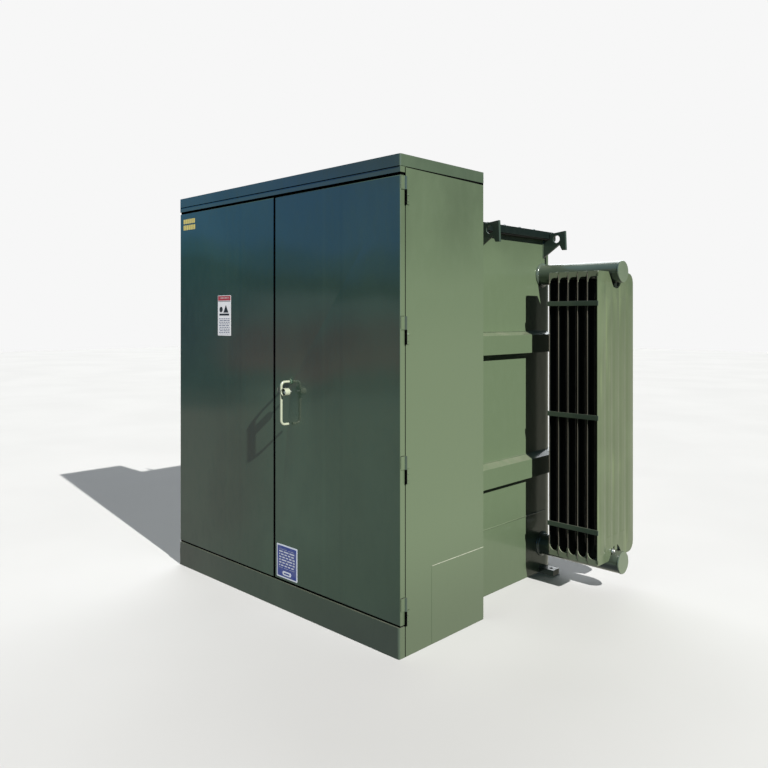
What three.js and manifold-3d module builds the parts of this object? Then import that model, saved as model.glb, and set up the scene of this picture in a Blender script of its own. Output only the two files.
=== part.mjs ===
// Pad-mounted transformer: a two-door cabinet in front of an oil tank with fin radiators.
// Millimetres, +Z up. The doors face -Y. The origin is under the middle of the whole object, on the ground.
import * as THREE from 'three';
import { mergeVertices } from 'three/addons/utils/BufferGeometryUtils.js';
import Module from 'manifold-3d';

const wasm = await Module();
wasm.setup();

// ---- driving dimensions; depths are counted from the front plane of the doors ----
const ARC_SEGMENTS = 6;             // of each quarter turn of a plan outline
const GAP = 0.3;                    // air between pieces that rest on each other
const SHEET = 5;                    // cabinet sheet
const PLATE = 6;                    // tank plate

const CABINET_HALF = 865;
const CABINET_DEPTH = 575;
const SIDE_FRONT = 31;              // front edge of the side sheets
const HOOD_TOP = 2100;
const HOOD_BOTTOM = 2050;
const HEADER_BOTTOM = 2024;
const SILL_TOP = 130;
const SILL_PROUD = 6;

const DOOR_BOTTOM = 137;
const DOOR_TOP = 2012;
const DOOR_DEPTH = 29;
const DOOR_SHEET = 4;
const SEAM_LEFT = 17;               // free edge of the high-voltage door
const SEAM_RIGHT = 25;              // free edge of the low-voltage door
const LV_STIFFENER = 445;           // middle of each door's hat stiffener, from the cabinet's middle
const HV_STIFFENER = 330;
const STIFFENER_WIDE = 118;

const HINGE_HEIGHTS = [191, 782, 1365, 1950];
const HINGE_X = CABINET_HALF + 5.5;   // hinge axis, just outside the side sheet
const HINGE_DEPTH = 30;
const KNUCKLE_R = 5;
const PIN_R = 2.8;
const BORE_R = 3.2;
const HINGE_HALF_HEIGHT = 58.5;

const HANDLE_X = 142;
const HANDLE_AXIS_Z = 1110;
const HANDLE_FOOT_Z = 907;
const HANDLE_R = 6.5;
const HANDLE_FRONT = 62;            // how far the bar stands in front of the door
const COLLAR_R = 14;                // round the shaft where it leaves the door
const COLLAR_LENGTH = 8;
const CUP_X = HANDLE_X + 24;
const CUP_Z = 1064;
const CUP_R = 19;
const CUP_LENGTH = 30;
const ROD_R = 7;
const ROD_DEPTH = 20;

const TANK_HALF = 700;
const TANK_FRONT = CABINET_DEPTH + 0.5;
const TANK_REAR = 1497;
const TANK_TOP = 1879.7;
const TANK_CORNER = 120;
const COVER_TOP = 1896;
const COVER_BOTTOM = 1856;
const COVER_OVERHANG = 42;

const STIFFENER_OUT = 45;
const STIFFENER_HEIGHTS = { stiffener_lower: [556, 655, 675], stiffener_upper: [1229, 1326, 1342] };
const LUG_DEPTHS = { front: 741, rear: 1363 };
const LUG_THICK = 15;

const PIPE_R = 56;
const PIPE_BORE = 51;
const PIPE_DEPTH = 1350;
const PIPE_TOP_Z = 1656;
const PIPE_BOTTOM_Z = 153;
const PIPE_REACH = 483;             // from the tank side to the end of the cap
const PANEL_COUNT = 6;
const PANEL_FIRST = 164;            // middle of the first panel from the tank side
const PANEL_PITCH = 55;
const PANEL_THICK = 11;
const PANEL_FRONT = 1155;
const PANEL_REAR = 1546;
const PANEL_TOP = 1655;
const PANEL_BOTTOM = 171;
const BRACE_HEIGHTS = { top: 1491, middle: 915, bottom: 340 };
const BRACE_HALF = 12.5;
const BRACE_THICK = 6;

const HV_X = [-610, -415, -220];    // high-voltage bushings and the fuses over them
const HV_Z = 1250;
const FUSE_Z = 1560;
const LV_X = [130, 290, 450, 610];
const LV_Z = 1130;
const SWITCH = { x: -415, z: 880 };
const TAP = { x: -200, z: 820 };
const WHEEL = { x: 330, z: 214, depth: 500 };
const RELIEF = { x: 220, z: 1700 };

const CORE_DEPTH = 1005;
const COIL_PITCH = 345;

const OBJECT_FRONT = -HANDLE_FRONT;
const OBJECT_MIDDLE = (OBJECT_FRONT + PANEL_REAR) / 2;

// ---- materials ----
const stuff = (color, roughness, metalness) => (
  new THREE.MeshStandardMaterial({ color, roughness, metalness }));
const paint = (color, roughness = 0.3) => stuff(color, roughness, 0.1);
const FINISH = {
  cabinet: paint(0x51654a),
  tank: paint(0x566a4e),
  radiator: paint(0x5d7155, 0.35),
  handle: paint(0xa9b598, 0.4),
  bolt: stuff(0x9c9c94, 0.35, 0.9),
  epoxy: stuff(0x5c3a2c, 0.45, 0),
  rubber: stuff(0x1c1c1e, 0.6, 0),
  gauge: stuff(0xd8d8d4, 0.3, 0.4),
  brass: stuff(0xb08d46, 0.35, 0.9),
  red: paint(0xa32a22, 0.4),
  core: stuff(0x5d6066, 0.5, 0.8),
  coil: stuff(0xb98b52, 0.7, 0),
};

// ---- solids ----
function solid(geometry) {
  const bare = geometry.index ? geometry.toNonIndexed() : geometry.clone();
  for (const name of Object.keys(bare.attributes)) {
    if (name !== 'position') bare.deleteAttribute(name);
  }
  const merged = mergeVertices(bare, 1e-4);
  return new wasm.Manifold(new wasm.Mesh({
    numProp: 3,
    vertProperties: Float32Array.from(merged.attributes.position.array),
    triVerts: Uint32Array.from(merged.index.array),
  }));
}

function geometryOf(manifold) {
  const { vertProperties, triVerts } = manifold.getMesh();
  const geometry = new THREE.BufferGeometry();
  geometry.setAttribute('position', new THREE.BufferAttribute(Float32Array.from(vertProperties), 3));
  geometry.setIndex(new THREE.BufferAttribute(Uint32Array.from(triVerts), 1));
  return geometry;
}

const join = (first, ...rest) => rest.reduce((body, piece) => body.add(piece), first);
const cut = (first, ...rest) => rest.reduce((body, piece) => body.subtract(piece), first);

function block(x, depth, z) {
  const box = new THREE.BoxGeometry(x[1] - x[0], depth[1] - depth[0], z[1] - z[0]);
  return solid(box.translate((x[0] + x[1]) / 2, (depth[0] + depth[1]) / 2, (z[0] + z[1]) / 2));
}

// A round bar between two points.
function rod(from, to, radius, segments = 14) {
  const start = new THREE.Vector3(...from);
  const along = new THREE.Vector3(...to).sub(start);
  const bar = new THREE.CylinderGeometry(radius, radius, along.length(), segments);
  const turn = new THREE.Quaternion().setFromUnitVectors(
    new THREE.Vector3(0, 1, 0), along.clone().normalize());
  const middle = start.clone().addScaledVector(along, 0.5);
  return solid(bar.applyQuaternion(turn).translate(middle.x, middle.y, middle.z));
}

// A turned piece: profile points are [radius, distance along the axis]; the axis starts at origin.
function turned(profile, origin, direction, segments = 14) {
  const points = profile.map(([radius, along]) => new THREE.Vector2(radius, along));
  const lathe = new THREE.LatheGeometry(points, segments);
  const turn = new THREE.Quaternion().setFromUnitVectors(
    new THREE.Vector3(0, 1, 0), new THREE.Vector3(...direction).normalize());
  return solid(lathe.applyQuaternion(turn).translate(...origin));
}

function extruded(outline, range, curveSegments) {
  const depth = range[1] - range[0];
  return new THREE.ExtrudeGeometry(outline, { depth, bevelEnabled: false, curveSegments });
}

function upright(outline, z) {
  const shape = extruded(outline, z, ARC_SEGMENTS);
  return solid(shape.translate(0, 0, z[0]));
}

function outlineOf(points) {
  return new THREE.Shape(points.map(([x, y]) => new THREE.Vector2(x, y)));
}

// An outline in X and Z, given its depth range.
function slabAcrossDepth(points, depth) {
  const shape = extruded(outlineOf(points), depth, 1);
  return solid(shape.rotateX(Math.PI / 2).translate(0, depth[1], 0));
}

// An outline in depth and Z, given its X range.
function slabAcrossWidth(outline, x) {
  const shape = extruded(outline, x, 2);
  const turn = new THREE.Matrix4().makeBasis(
    new THREE.Vector3(0, 1, 0), new THREE.Vector3(0, 0, 1), new THREE.Vector3(1, 0, 0));
  return solid(shape.applyMatrix4(turn).translate(x[0], 0, 0));
}

const mirrored = (body) => body.mirror([1, 0, 0]);

// Plan outline of the tank, grown by some amount; the front edge stays straight.
function tankOutline(grow, front = TANK_FRONT) {
  const half = TANK_HALF + grow;
  const rear = TANK_REAR + grow;
  const corner = TANK_CORNER + grow;
  const outline = new THREE.Shape();
  outline.moveTo(-half, front);
  outline.lineTo(half, front);
  outline.lineTo(half, rear - corner);
  outline.absarc(half - corner, rear - corner, corner, 0, Math.PI / 2, false);
  outline.lineTo(-half + corner, rear);
  outline.absarc(-half + corner, rear - corner, corner, Math.PI / 2, Math.PI, false);
  outline.lineTo(-half, front);
  return outline;
}

function roundedRectangle(x, y, radius) {
  const outline = new THREE.Shape();
  outline.moveTo(x[0] + radius, y[0]);
  outline.lineTo(x[1] - radius, y[0]);
  outline.absarc(x[1] - radius, y[0] + radius, radius, -Math.PI / 2, 0, false);
  outline.lineTo(x[1], y[1] - radius);
  outline.absarc(x[1] - radius, y[1] - radius, radius, 0, Math.PI / 2, false);
  outline.lineTo(x[0] + radius, y[1]);
  outline.absarc(x[0] + radius, y[1] - radius, radius, Math.PI / 2, Math.PI, false);
  outline.lineTo(x[0], y[0] + radius);
  outline.absarc(x[0] + radius, y[0] + radius, radius, Math.PI, Math.PI * 1.5, false);
  return outline;
}

// ---- the scene graph ----
const transformer = new THREE.Group();
transformer.name = 'pad_mounted_transformer';
const assembly = new THREE.Group();
assembly.position.y = -OBJECT_MIDDLE;
transformer.add(assembly);

function place(name, body, material) {
  const mesh = new THREE.Mesh(geometryOf(body), material);
  mesh.name = name;
  assembly.add(mesh);
}

// ---- cabinet ----
function hingeFixedHalf(z) {
  const knuckle = [z - HINGE_HALF_HEIGHT, z + 2.2];
  return join(
    block([CABINET_HALF - 1, CABINET_HALF + 3], [SIDE_FRONT, SIDE_FRONT + 24], knuckle),
    block([CABINET_HALF - 1, HINGE_X], [SIDE_FRONT, SIDE_FRONT + 5], knuckle),
    rod([HINGE_X, HINGE_DEPTH, knuckle[0]], [HINGE_X, HINGE_DEPTH, knuckle[1]], KNUCKLE_R, 12),
    rod([HINGE_X, HINGE_DEPTH, z], [HINGE_X, HINGE_DEPTH, z + 50], PIN_R, 10),
  );
}

function cabinetSide() {
  const top = HOOD_BOTTOM - GAP;
  const sheet = block([CABINET_HALF - SHEET, CABINET_HALF], [SIDE_FRONT, CABINET_DEPTH], [0, top]);
  const jamb = block([CABINET_HALF - 30, CABINET_HALF], [SIDE_FRONT, SIDE_FRONT + 3], [0, top]);
  const foot = block([CABINET_HALF - 40, CABINET_HALF], [SIDE_FRONT, CABINET_DEPTH], [0, SHEET]);
  return join(sheet, jamb, foot, ...HINGE_HEIGHTS.map(hingeFixedHalf));
}

function cabinetShell() {
  const top = HOOD_BOTTOM - GAP;
  const rear = cut(
    block([-CABINET_HALF, CABINET_HALF], [CABINET_DEPTH - SHEET, CABINET_DEPTH], [0, top]),
    block([-TANK_HALF + 10, TANK_HALF - 10], [CABINET_DEPTH - 20, CABINET_DEPTH + 20], [-10, TANK_TOP - 30]),
  );
  const header = cut(
    block([-CABINET_HALF, CABINET_HALF], [0, 60], [HEADER_BOTTOM, top]),
    block([-CABINET_HALF + SHEET, CABINET_HALF - SHEET], [SHEET, 70], [HEADER_BOTTOM + 3, top - 3]),
  );
  const side = cabinetSide();
  return join(side, mirrored(side), rear, header);
}

function frontSill() {
  const rear = SIDE_FRONT - GAP;
  const plan = roundedRectangle([-CABINET_HALF, CABINET_HALF], [-SILL_PROUD, rear + 40], 10);
  const width = [-CABINET_HALF + SHEET, CABINET_HALF - SHEET];
  const outer = upright(plan, [0, SILL_TOP]);
  const inside = block(width, [-SILL_PROUD + SHEET, 200], [SHEET, SILL_TOP - SHEET]);
  const lips = block(width, [24, 200], [-10, SILL_TOP + 10]);
  const behind = block([-CABINET_HALF - 10, CABINET_HALF + 10], [rear, 200], [-10, SILL_TOP + 10]);
  return cut(outer, inside, lips, behind);
}

function cabinetHood() {
  const outer = roundedRectangle([-CABINET_HALF - 2, CABINET_HALF + 2], [-2, CABINET_DEPTH + 4], 8);
  const inner = roundedRectangle(
    [-CABINET_HALF - 2 + SHEET, CABINET_HALF + 2 - SHEET], [-2 + SHEET, CABINET_DEPTH + 4 - SHEET], 4);
  return cut(upright(outer, [HOOD_BOTTOM, HOOD_TOP]), upright(inner, [HOOD_BOTTOM - 10, HOOD_TOP - SHEET]));
}

function compartmentBarrier() {
  const left = 19;
  const sheet = 3;
  const front = 40;
  const rear = CABINET_DEPTH - 10;
  const plan = outlineOf([
    [left, front], [left + 23, front], [left + 23, front + sheet], [left + sheet, front + sheet],
    [left + sheet, rear - sheet], [left + 28, rear - sheet], [left + 28, rear], [left, rear],
  ]);
  return upright(plan, [20, HEADER_BOTTOM - 4]);
}

// ---- doors ----
function hingeDoorHalf(z) {
  const knuckle = [z + 2.8, z + HINGE_HALF_HEIGHT];
  const tab = join(
    block([CABINET_HALF - 1, CABINET_HALF + 3], [4, DOOR_DEPTH], knuckle),
    block([CABINET_HALF - 1, HINGE_X], [DOOR_DEPTH - 5, DOOR_DEPTH], knuckle),
    rod([HINGE_X, HINGE_DEPTH, knuckle[0]], [HINGE_X, HINGE_DEPTH, knuckle[1]], KNUCKLE_R, 12),
  );
  return cut(tab, rod([HINGE_X, HINGE_DEPTH, z - 5], [HINGE_X, HINGE_DEPTH, z + 70], BORE_R, 12));
}

// A folded pan, open at the back, with its hinge side at the cabinet's right edge.
function doorPan(free, stiffenerMiddle) {
  const inset = DOOR_SHEET;
  const hat = STIFFENER_WIDE / 2;
  const pan = cut(
    block([free, CABINET_HALF], [0, DOOR_DEPTH], [DOOR_BOTTOM, DOOR_TOP]),
    block(
      [free + inset, CABINET_HALF - inset],
      [inset, DOOR_DEPTH + 10], [DOOR_BOTTOM + inset, DOOR_TOP - inset]),
  );
  const stiffener = cut(
    block(
      [stiffenerMiddle - hat, stiffenerMiddle + hat],
      [inset - 1, DOOR_DEPTH - 5], [DOOR_BOTTOM + 40, DOOR_TOP - 40]),
    block(
      [stiffenerMiddle - hat + 3, stiffenerMiddle + hat - 3],
      [inset, DOOR_DEPTH - 8], [DOOR_BOTTOM, DOOR_TOP]),
  );
  return join(pan, stiffener, ...HINGE_HEIGHTS.map(hingeDoorHalf));
}

function lowVoltageDoor() {
  const shaft = (depth) => [HANDLE_X, depth, HANDLE_AXIS_Z];
  const shaftHole = rod(shaft(-20), shaft(60), HANDLE_R + 0.5, 16);
  const rodAt = (z) => [HANDLE_X, ROD_DEPTH, z];
  const rodHoles = rod(rodAt(DOOR_BOTTOM - 5), rodAt(DOOR_TOP + 5), ROD_R + 1);
  const collar = cut(rod(shaft(-COLLAR_LENGTH), shaft(1), COLLAR_R), shaftHole);
  return cut(join(doorPan(SEAM_RIGHT, LV_STIFFENER), collar), shaftHole, rodHoles);
}

const highVoltageDoor = () => mirrored(doorPan(-SEAM_LEFT, HV_STIFFENER));

// The bar leaves the door, bends down across it and turns back towards it at the foot.
function doorHandle() {
  const front = -HANDLE_FRONT + HANDLE_R;
  const bend = 24;
  const route = new THREE.CurvePath();
  const at = (depth, z) => new THREE.Vector3(HANDLE_X, depth, z);
  route.add(new THREE.LineCurve3(at(10, HANDLE_AXIS_Z), at(front + bend, HANDLE_AXIS_Z)));
  route.add(new THREE.QuadraticBezierCurve3(
    at(front + bend, HANDLE_AXIS_Z), at(front, HANDLE_AXIS_Z), at(front, HANDLE_AXIS_Z - bend)));
  route.add(new THREE.LineCurve3(at(front, HANDLE_AXIS_Z - bend), at(front, HANDLE_FOOT_Z + bend)));
  route.add(new THREE.QuadraticBezierCurve3(
    at(front, HANDLE_FOOT_Z + bend), at(front, HANDLE_FOOT_Z), at(front + bend, HANDLE_FOOT_Z)));
  route.add(new THREE.LineCurve3(at(front + bend, HANDLE_FOOT_Z), at(-9, HANDLE_FOOT_Z)));
  const section = new THREE.Shape().absarc(0, 0, HANDLE_R, 0, Math.PI * 2);
  const bar = solid(new THREE.ExtrudeGeometry(section, { steps: 36, extrudePath: route, curveSegments: 5 }));
  const cupAt = (out) => [CUP_X, -HANDLE_FRONT + out, CUP_Z];
  const cup = rod(cupAt(0), cupAt(CUP_LENGTH), CUP_R, 18);
  const socket = rod(cupAt(-5), cupAt(CUP_LENGTH - 6), CUP_R - 4, 18);
  const boltHole = rod(cupAt(0), cupAt(HANDLE_FRONT), 6.5, 16);
  const cam = block([HANDLE_X - 40, HANDLE_X + 40], [6, 10], [HANDLE_AXIS_Z - 12, HANDLE_AXIS_Z + 12]);
  return join(bar, cut(cup, socket, boltHole), cam);
}

function pentaBolt() {
  const front = -HANDLE_FRONT;
  const head = rod([CUP_X, front + 8, CUP_Z], [CUP_X, front + CUP_LENGTH - 6.5, CUP_Z], 10, 5);
  const shank = rod([CUP_X, front + 10, CUP_Z], [CUP_X, -1, CUP_Z], 6, 12);
  return join(head, shank);
}

function latchRod(from, to) {
  return rod([HANDLE_X, ROD_DEPTH, from], [HANDLE_X, ROD_DEPTH, to], ROD_R, 10);
}

// ---- tank ----
function holdDownFoot() {
  const foot = block([TANK_HALF - 3, TANK_HALF + 94], [1311, 1371], [0, 30]);
  return cut(foot, rod([TANK_HALF + 62, 1341, -5], [TANK_HALF + 62, 1341, 40], 11, 16));
}

function groundPad(x, z, depth, direction) {
  return turned([[0, 0], [28, 0], [28, 14], [8, 14], [8, 4], [0, 4]], [x, depth, z], [0, direction, 0], 16);
}

function drainValve() {
  const { x, depth, z } = WHEEL;
  const pipeZ = z - 84;
  return join(
    rod([x, depth - 50, pipeZ], [x, TANK_FRONT + 3, pipeZ], 18),
    rod([x, depth - 62, pipeZ], [x, depth - 40, pipeZ], 25, 6),
    rod([x, depth, pipeZ - 28], [x, depth, pipeZ + 40], 27),
    rod([x, depth, pipeZ], [x, depth, z + 12], 6, 12),
  );
}

function tankBody() {
  const shell = upright(tankOutline(0), [0, TANK_TOP]);
  const rim = upright(tankOutline(34), [TANK_TOP - 8, TANK_TOP]);
  const rimInside = upright(tankOutline(-PLATE, TANK_FRONT + PLATE), [10, TANK_TOP + 20]);
  const foot = holdDownFoot();
  const added = [foot, mirrored(foot), drainValve(),
    groundPad(-560, 110, TANK_FRONT + 1, -1), groundPad(560, 110, TANK_FRONT + 1, -1),
    groundPad(-520, 110, TANK_REAR - 1, 1)];
  const removed = [];
  for (const z of [PIPE_TOP_Z, PIPE_BOTTOM_Z]) {
    removed.push(rod([-TANK_HALF - 10, PIPE_DEPTH, z], [TANK_HALF + 10, PIPE_DEPTH, z], PIPE_BORE, 16));
  }
  for (const x of HV_X) {
    added.push(rod([x, TANK_FRONT - 34, FUSE_Z], [x, TANK_FRONT + 150, FUSE_Z], 27));
    removed.push(rod([x, TANK_FRONT - 60, FUSE_Z], [x, TANK_FRONT + 160, FUSE_Z], 19));
  }
  for (const { x, z } of [SWITCH, TAP]) {
    added.push(rod([x, TANK_FRONT - 16, z], [x, TANK_FRONT + 3, z], 22));
    removed.push(rod([x, TANK_FRONT - 30, z], [x, TANK_FRONT + 20, z], 9.6));
  }
  added.push(rod([RELIEF.x, TANK_FRONT - 40, RELIEF.z], [RELIEF.x, TANK_FRONT + 3, RELIEF.z], 24, 6));
  removed.push(rod([RELIEF.x, TANK_FRONT - 60, RELIEF.z], [RELIEF.x, TANK_FRONT + 20, RELIEF.z], 9.6));
  return cut(join(cut(join(shell, rim), rimInside), ...added), ...removed);
}

function tankCover() {
  const outer = upright(tankOutline(COVER_OVERHANG), [COVER_BOTTOM, COVER_TOP]);
  const inside = upright(tankOutline(COVER_OVERHANG - 5, TANK_FRONT - 20), [COVER_BOTTOM - 10, TANK_TOP + 5]);
  return cut(outer, inside);
}

// A solid between plan outlines with as many points each, given as [outline, height] from below.
function loft(levels) {
  const rings = levels.map(([outline, z]) => outline.getPoints(ARC_SEGMENTS).slice(0, -1).map(({ x, y }) => [x, y, z]));
  const count = rings[0].length;
  const faces = [];
  for (let level = 0; level + 1 < rings.length; level += 1) {
    for (let i = 0; i < count; i += 1) {
      const next = (i + 1) % count;
      const [low, high] = [rings[level], rings[level + 1]];
      faces.push([low[i], low[next], high[next]], [low[i], high[next], high[i]]);
    }
  }
  const flat = rings[0].map(([x, y]) => new THREE.Vector2(x, y));
  for (const [i, j, k] of THREE.ShapeUtils.triangulateShape(flat, [])) {
    const last = rings[rings.length - 1];
    faces.push([rings[0][k], rings[0][j], rings[0][i]], [last[i], last[j], last[k]]);
  }
  const geometry = new THREE.BufferGeometry();
  geometry.setAttribute('position', new THREE.Float32BufferAttribute(faces.flat(2), 3));
  return solid(geometry);
}

// A folded channel round the tank, with a sloping top, closed at its ends.
function stiffener([bottom, shoulder, top]) {
  const hull = (inset, start) => loft([
    [tankOutline(STIFFENER_OUT - inset, TANK_FRONT + start), bottom + inset],
    [tankOutline(STIFFENER_OUT - inset, TANK_FRONT + start), shoulder - inset / 2],
    [tankOutline(2, TANK_FRONT + start), top - inset],
  ]);
  const tank = upright(tankOutline(GAP, TANK_FRONT - 20), [bottom - 10, top + 10]);
  return cut(hull(0, 0), hull(PLATE, 20), tank);
}

function liftingLug(depth) {
  const p = (out, z) => [TANK_HALF + out, z];
  const plate = slabAcrossDepth(
    [p(GAP, 1752), p(103, 1822), p(120, 1790), p(144, 1790), p(140, 1895), p(GAP, 1880)],
    [depth - LUG_THICK / 2, depth + LUG_THICK / 2]);
  return cut(plate,
    block(
      [TANK_HALF - 10, TANK_HALF + COVER_OVERHANG + 3], [depth - 50, depth + 50], [COVER_BOTTOM - 6, 1950]),
    rod([TANK_HALF + 86, depth - 50, 1853], [TANK_HALF + 86, depth + 50, 1853], 21));
}

// ---- radiators ----
function headerPipe(z) {
  const end = PIPE_REACH;
  return turned([
    [PIPE_BORE, GAP], [PIPE_R + 12, GAP], [PIPE_R + 12, 5], [PIPE_R, 14], [PIPE_R, end - 14],
    [PIPE_R - 8, end - 3], [PIPE_R - 24, end], [0, end], [0, end - 8], [PIPE_BORE, end - 14], [PIPE_BORE, GAP],
  ], [TANK_HALF, PIPE_DEPTH, z], [1, 0, 0], 20);
}

function panelOutline() {
  const corner = 50;
  const notch = 78;
  const rise = 80;
  const sink = 65;
  const neck = 15;
  const topNeck = PIPE_TOP_Z - PIPE_R - GAP;
  const bottomNeck = PIPE_BOTTOM_Z + PIPE_R + GAP;
  const outline = new THREE.Shape();
  outline.moveTo(PANEL_FRONT, PANEL_BOTTOM);
  outline.lineTo(PIPE_DEPTH - notch, PANEL_BOTTOM);
  outline.lineTo(PIPE_DEPTH - neck - 8, PANEL_BOTTOM + sink);
  outline.lineTo(PIPE_DEPTH - neck, PANEL_BOTTOM + sink);
  outline.lineTo(PIPE_DEPTH - neck, bottomNeck + 2.2);
  outline.lineTo(PIPE_DEPTH + neck, bottomNeck + 2.2);
  outline.lineTo(PIPE_DEPTH + neck, PANEL_BOTTOM + sink);
  outline.lineTo(PIPE_DEPTH + neck + 8, PANEL_BOTTOM + sink);
  outline.lineTo(PIPE_DEPTH + notch, PANEL_BOTTOM);
  outline.absarc(PANEL_REAR - corner, PANEL_BOTTOM + corner, corner, -Math.PI / 2, 0, false);
  outline.absarc(PANEL_REAR - corner, PANEL_TOP - corner, corner, 0, Math.PI / 2, false);
  outline.lineTo(PIPE_DEPTH + notch, PANEL_TOP);
  outline.lineTo(PIPE_DEPTH + neck + 8, PANEL_TOP - rise);
  outline.lineTo(PIPE_DEPTH + neck, PANEL_TOP - rise);
  outline.lineTo(PIPE_DEPTH + neck, topNeck - 2.2);
  outline.lineTo(PIPE_DEPTH - neck, topNeck - 2.2);
  outline.lineTo(PIPE_DEPTH - neck, PANEL_TOP - rise);
  outline.lineTo(PIPE_DEPTH - neck - 8, PANEL_TOP - rise);
  outline.lineTo(PIPE_DEPTH - notch, PANEL_TOP);
  outline.lineTo(PANEL_FRONT, PANEL_TOP);
  return outline;
}

function radiatorPanel(index) {
  const middle = TANK_HALF + PANEL_FIRST + index * PANEL_PITCH;
  return slabAcrossWidth(panelOutline(), [middle - PANEL_THICK / 2, middle + PANEL_THICK / 2]);
}

function radiatorBrace(z) {
  const first = TANK_HALF + PANEL_FIRST - PANEL_THICK / 2 - 2;
  const last = TANK_HALF + PANEL_FIRST + (PANEL_COUNT - 1) * PANEL_PITCH + PANEL_THICK / 2 + 2;
  const depth = [PANEL_FRONT - BRACE_THICK - GAP, PANEL_FRONT - GAP];
  return block([first, last], depth, [z - BRACE_HALF, z + BRACE_HALF]);
}

function radiators() {
  const pieces = {
    header_top: [headerPipe(PIPE_TOP_Z), FINISH.radiator],
    header_bottom: [headerPipe(PIPE_BOTTOM_Z), FINISH.radiator],
  };
  for (let i = 0; i < PANEL_COUNT; i += 1) pieces[`panel_${i + 1}`] = [radiatorPanel(i), FINISH.radiator];
  for (const [name, z] of Object.entries(BRACE_HEIGHTS)) {
    pieces[`brace_${name}`] = [radiatorBrace(z), FINISH.radiator];
  }
  for (const [name, [body, material]] of Object.entries(pieces)) {
    place(`radiator_right_${name}`, body, material);
    place(`radiator_left_${name}`, mirrored(body), material);
  }
}

// ---- electrical fittings on the tank front; direction -Y is out of the tank ----
const OUT = [0, -1, 0];
const FACE = TANK_FRONT - GAP;

function highVoltageBushing(x) {
  return turned([
    [0, 0], [58, 0], [58, 12], [44, 12], [44, 40], [36, 48], [30, 120],
    [25, 168], [17, 172], [11, 172], [11, 60], [0, 60],
  ], [x, FACE, HV_Z], OUT);
}

function lowVoltageBushing(x) {
  const stem = turned([
    [0, 0], [60, 0], [60, 12], [44, 16], [40, 30], [48, 38], [40, 46],
    [46, 54], [38, 62], [38, 72], [19, 76], [19, 100], [0, 100],
  ], [x, FACE, LV_Z], OUT);
  const blade = block([x - 6, x + 6], [FACE - 195, FACE - 90], [LV_Z - 42, LV_Z + 42]);
  const holes = [-22, 22].flatMap((dz) => [120, 165].map((out) => (
    rod([x - 20, FACE - out - 8, LV_Z + dz], [x + 20, FACE - out - 8, LV_Z + dz], 7, 12))));
  return cut(join(stem, blade), ...holes);
}

function fuseHolder(x) {
  const body = turned([
    [0, -240], [14, -240], [14, -60], [18.4, -56], [18.4, 34.6],
    [25, 34.6], [25, 52], [12, 58], [12, 74], [0, 74],
  ], [x, TANK_FRONT, FUSE_Z], OUT, 14);
  const ring = cut(
    rod([x - 5, TANK_FRONT - 86, FUSE_Z], [x + 5, TANK_FRONT - 86, FUSE_Z], 20, 14),
    rod([x - 9, TANK_FRONT - 86, FUSE_Z], [x + 9, TANK_FRONT - 86, FUSE_Z], 12, 14),
  );
  return join(body, ring);
}

function switchHandle() {
  const { x, z } = SWITCH;
  const profile = [[0, -12], [9, -12], [9, 16.4], [26, 16.4], [26, 34], [0, 34]];
  const hub = turned(profile, [x, TANK_FRONT, z], OUT, 14);
  const lever = slabAcrossDepth(
    [[x - 14, z - 20], [x + 14, z - 20], [x + 12, z + 150], [x - 12, z + 150]],
    [TANK_FRONT - 32, TANK_FRONT - 22]);
  const eyeAt = (out) => [x, TANK_FRONT - out, z + 160];
  const eyeHole = rod(eyeAt(40), eyeAt(10), 13);
  return join(hub, cut(lever, eyeHole), cut(rod(eyeAt(32), eyeAt(22), 24), eyeHole));
}

function tapChangerHandle() {
  const { x, z } = TAP;
  const profile = [[0, -12], [9, -12], [9, 16.4], [36, 16.4], [36, 26], [14, 30], [14, 50], [0, 50]];
  const knob = turned(profile, [x, TANK_FRONT, z], OUT, 14);
  const grip = block([x - 6, x + 6], [TANK_FRONT - 58, TANK_FRONT - 28], [z - 30, z + 44]);
  return join(knob, grip);
}

function gauge(x, z, radius) {
  return turned([
    [0, 0], [radius * 0.55, 0], [radius * 0.55, 18], [radius, 20], [radius, 44],
    [radius - 5, 44], [radius - 7, 40], [0, 40],
  ], [x, FACE, z], OUT, 18);
}

function drainWheel() {
  const { x, depth, z } = WHEEL;
  const rim = cut(
    rod([x, depth, z - 5], [x, depth, z + 5], 46, 18),
    rod([x, depth, z - 9], [x, depth, z + 9], 36, 18),
  );
  const spokes = [0, 1, 2].map((i) => {
    const angle = (i * Math.PI) / 3;
    const reach = 40;
    return rod(
      [x - reach * Math.cos(angle), depth - reach * Math.sin(angle), z],
      [x + reach * Math.cos(angle), depth + reach * Math.sin(angle), z], 3.4, 6);
  });
  const hub = rod([x, depth, z - 7], [x, depth, z + 7], 13, 16);
  return cut(join(rim, hub, ...spokes), rod([x, depth, z - 20], [x, depth, z + 20], 6.6, 16));
}

function reliefValve() {
  const { x, z } = RELIEF;
  const profile = [[0, -10], [9, -10], [9, 40.4], [15, 40.4], [15, 48], [6, 50], [6, 56], [0, 56]];
  const plug = turned(profile, [x, TANK_FRONT, z], OUT, 16);
  const ring = cut(
    rod([x - 3, TANK_FRONT - 66, z], [x + 3, TANK_FRONT - 66, z], 16),
    rod([x - 9, TANK_FRONT - 66, z], [x + 9, TANK_FRONT - 66, z], 11),
  );
  return join(plug, ring);
}

// ---- core and coils in the oil ----
function core() {
  const legHalf = 70;
  const half = COIL_PITCH + legHalf;
  const frame = block([-half, half], [CORE_DEPTH - 110, CORE_DEPTH + 110], [12, 1090]);
  const window = block([legHalf, COIL_PITCH - legHalf], [CORE_DEPTH - 200, CORE_DEPTH + 200], [190, 920]);
  return cut(frame, window, mirrored(window));
}

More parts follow.
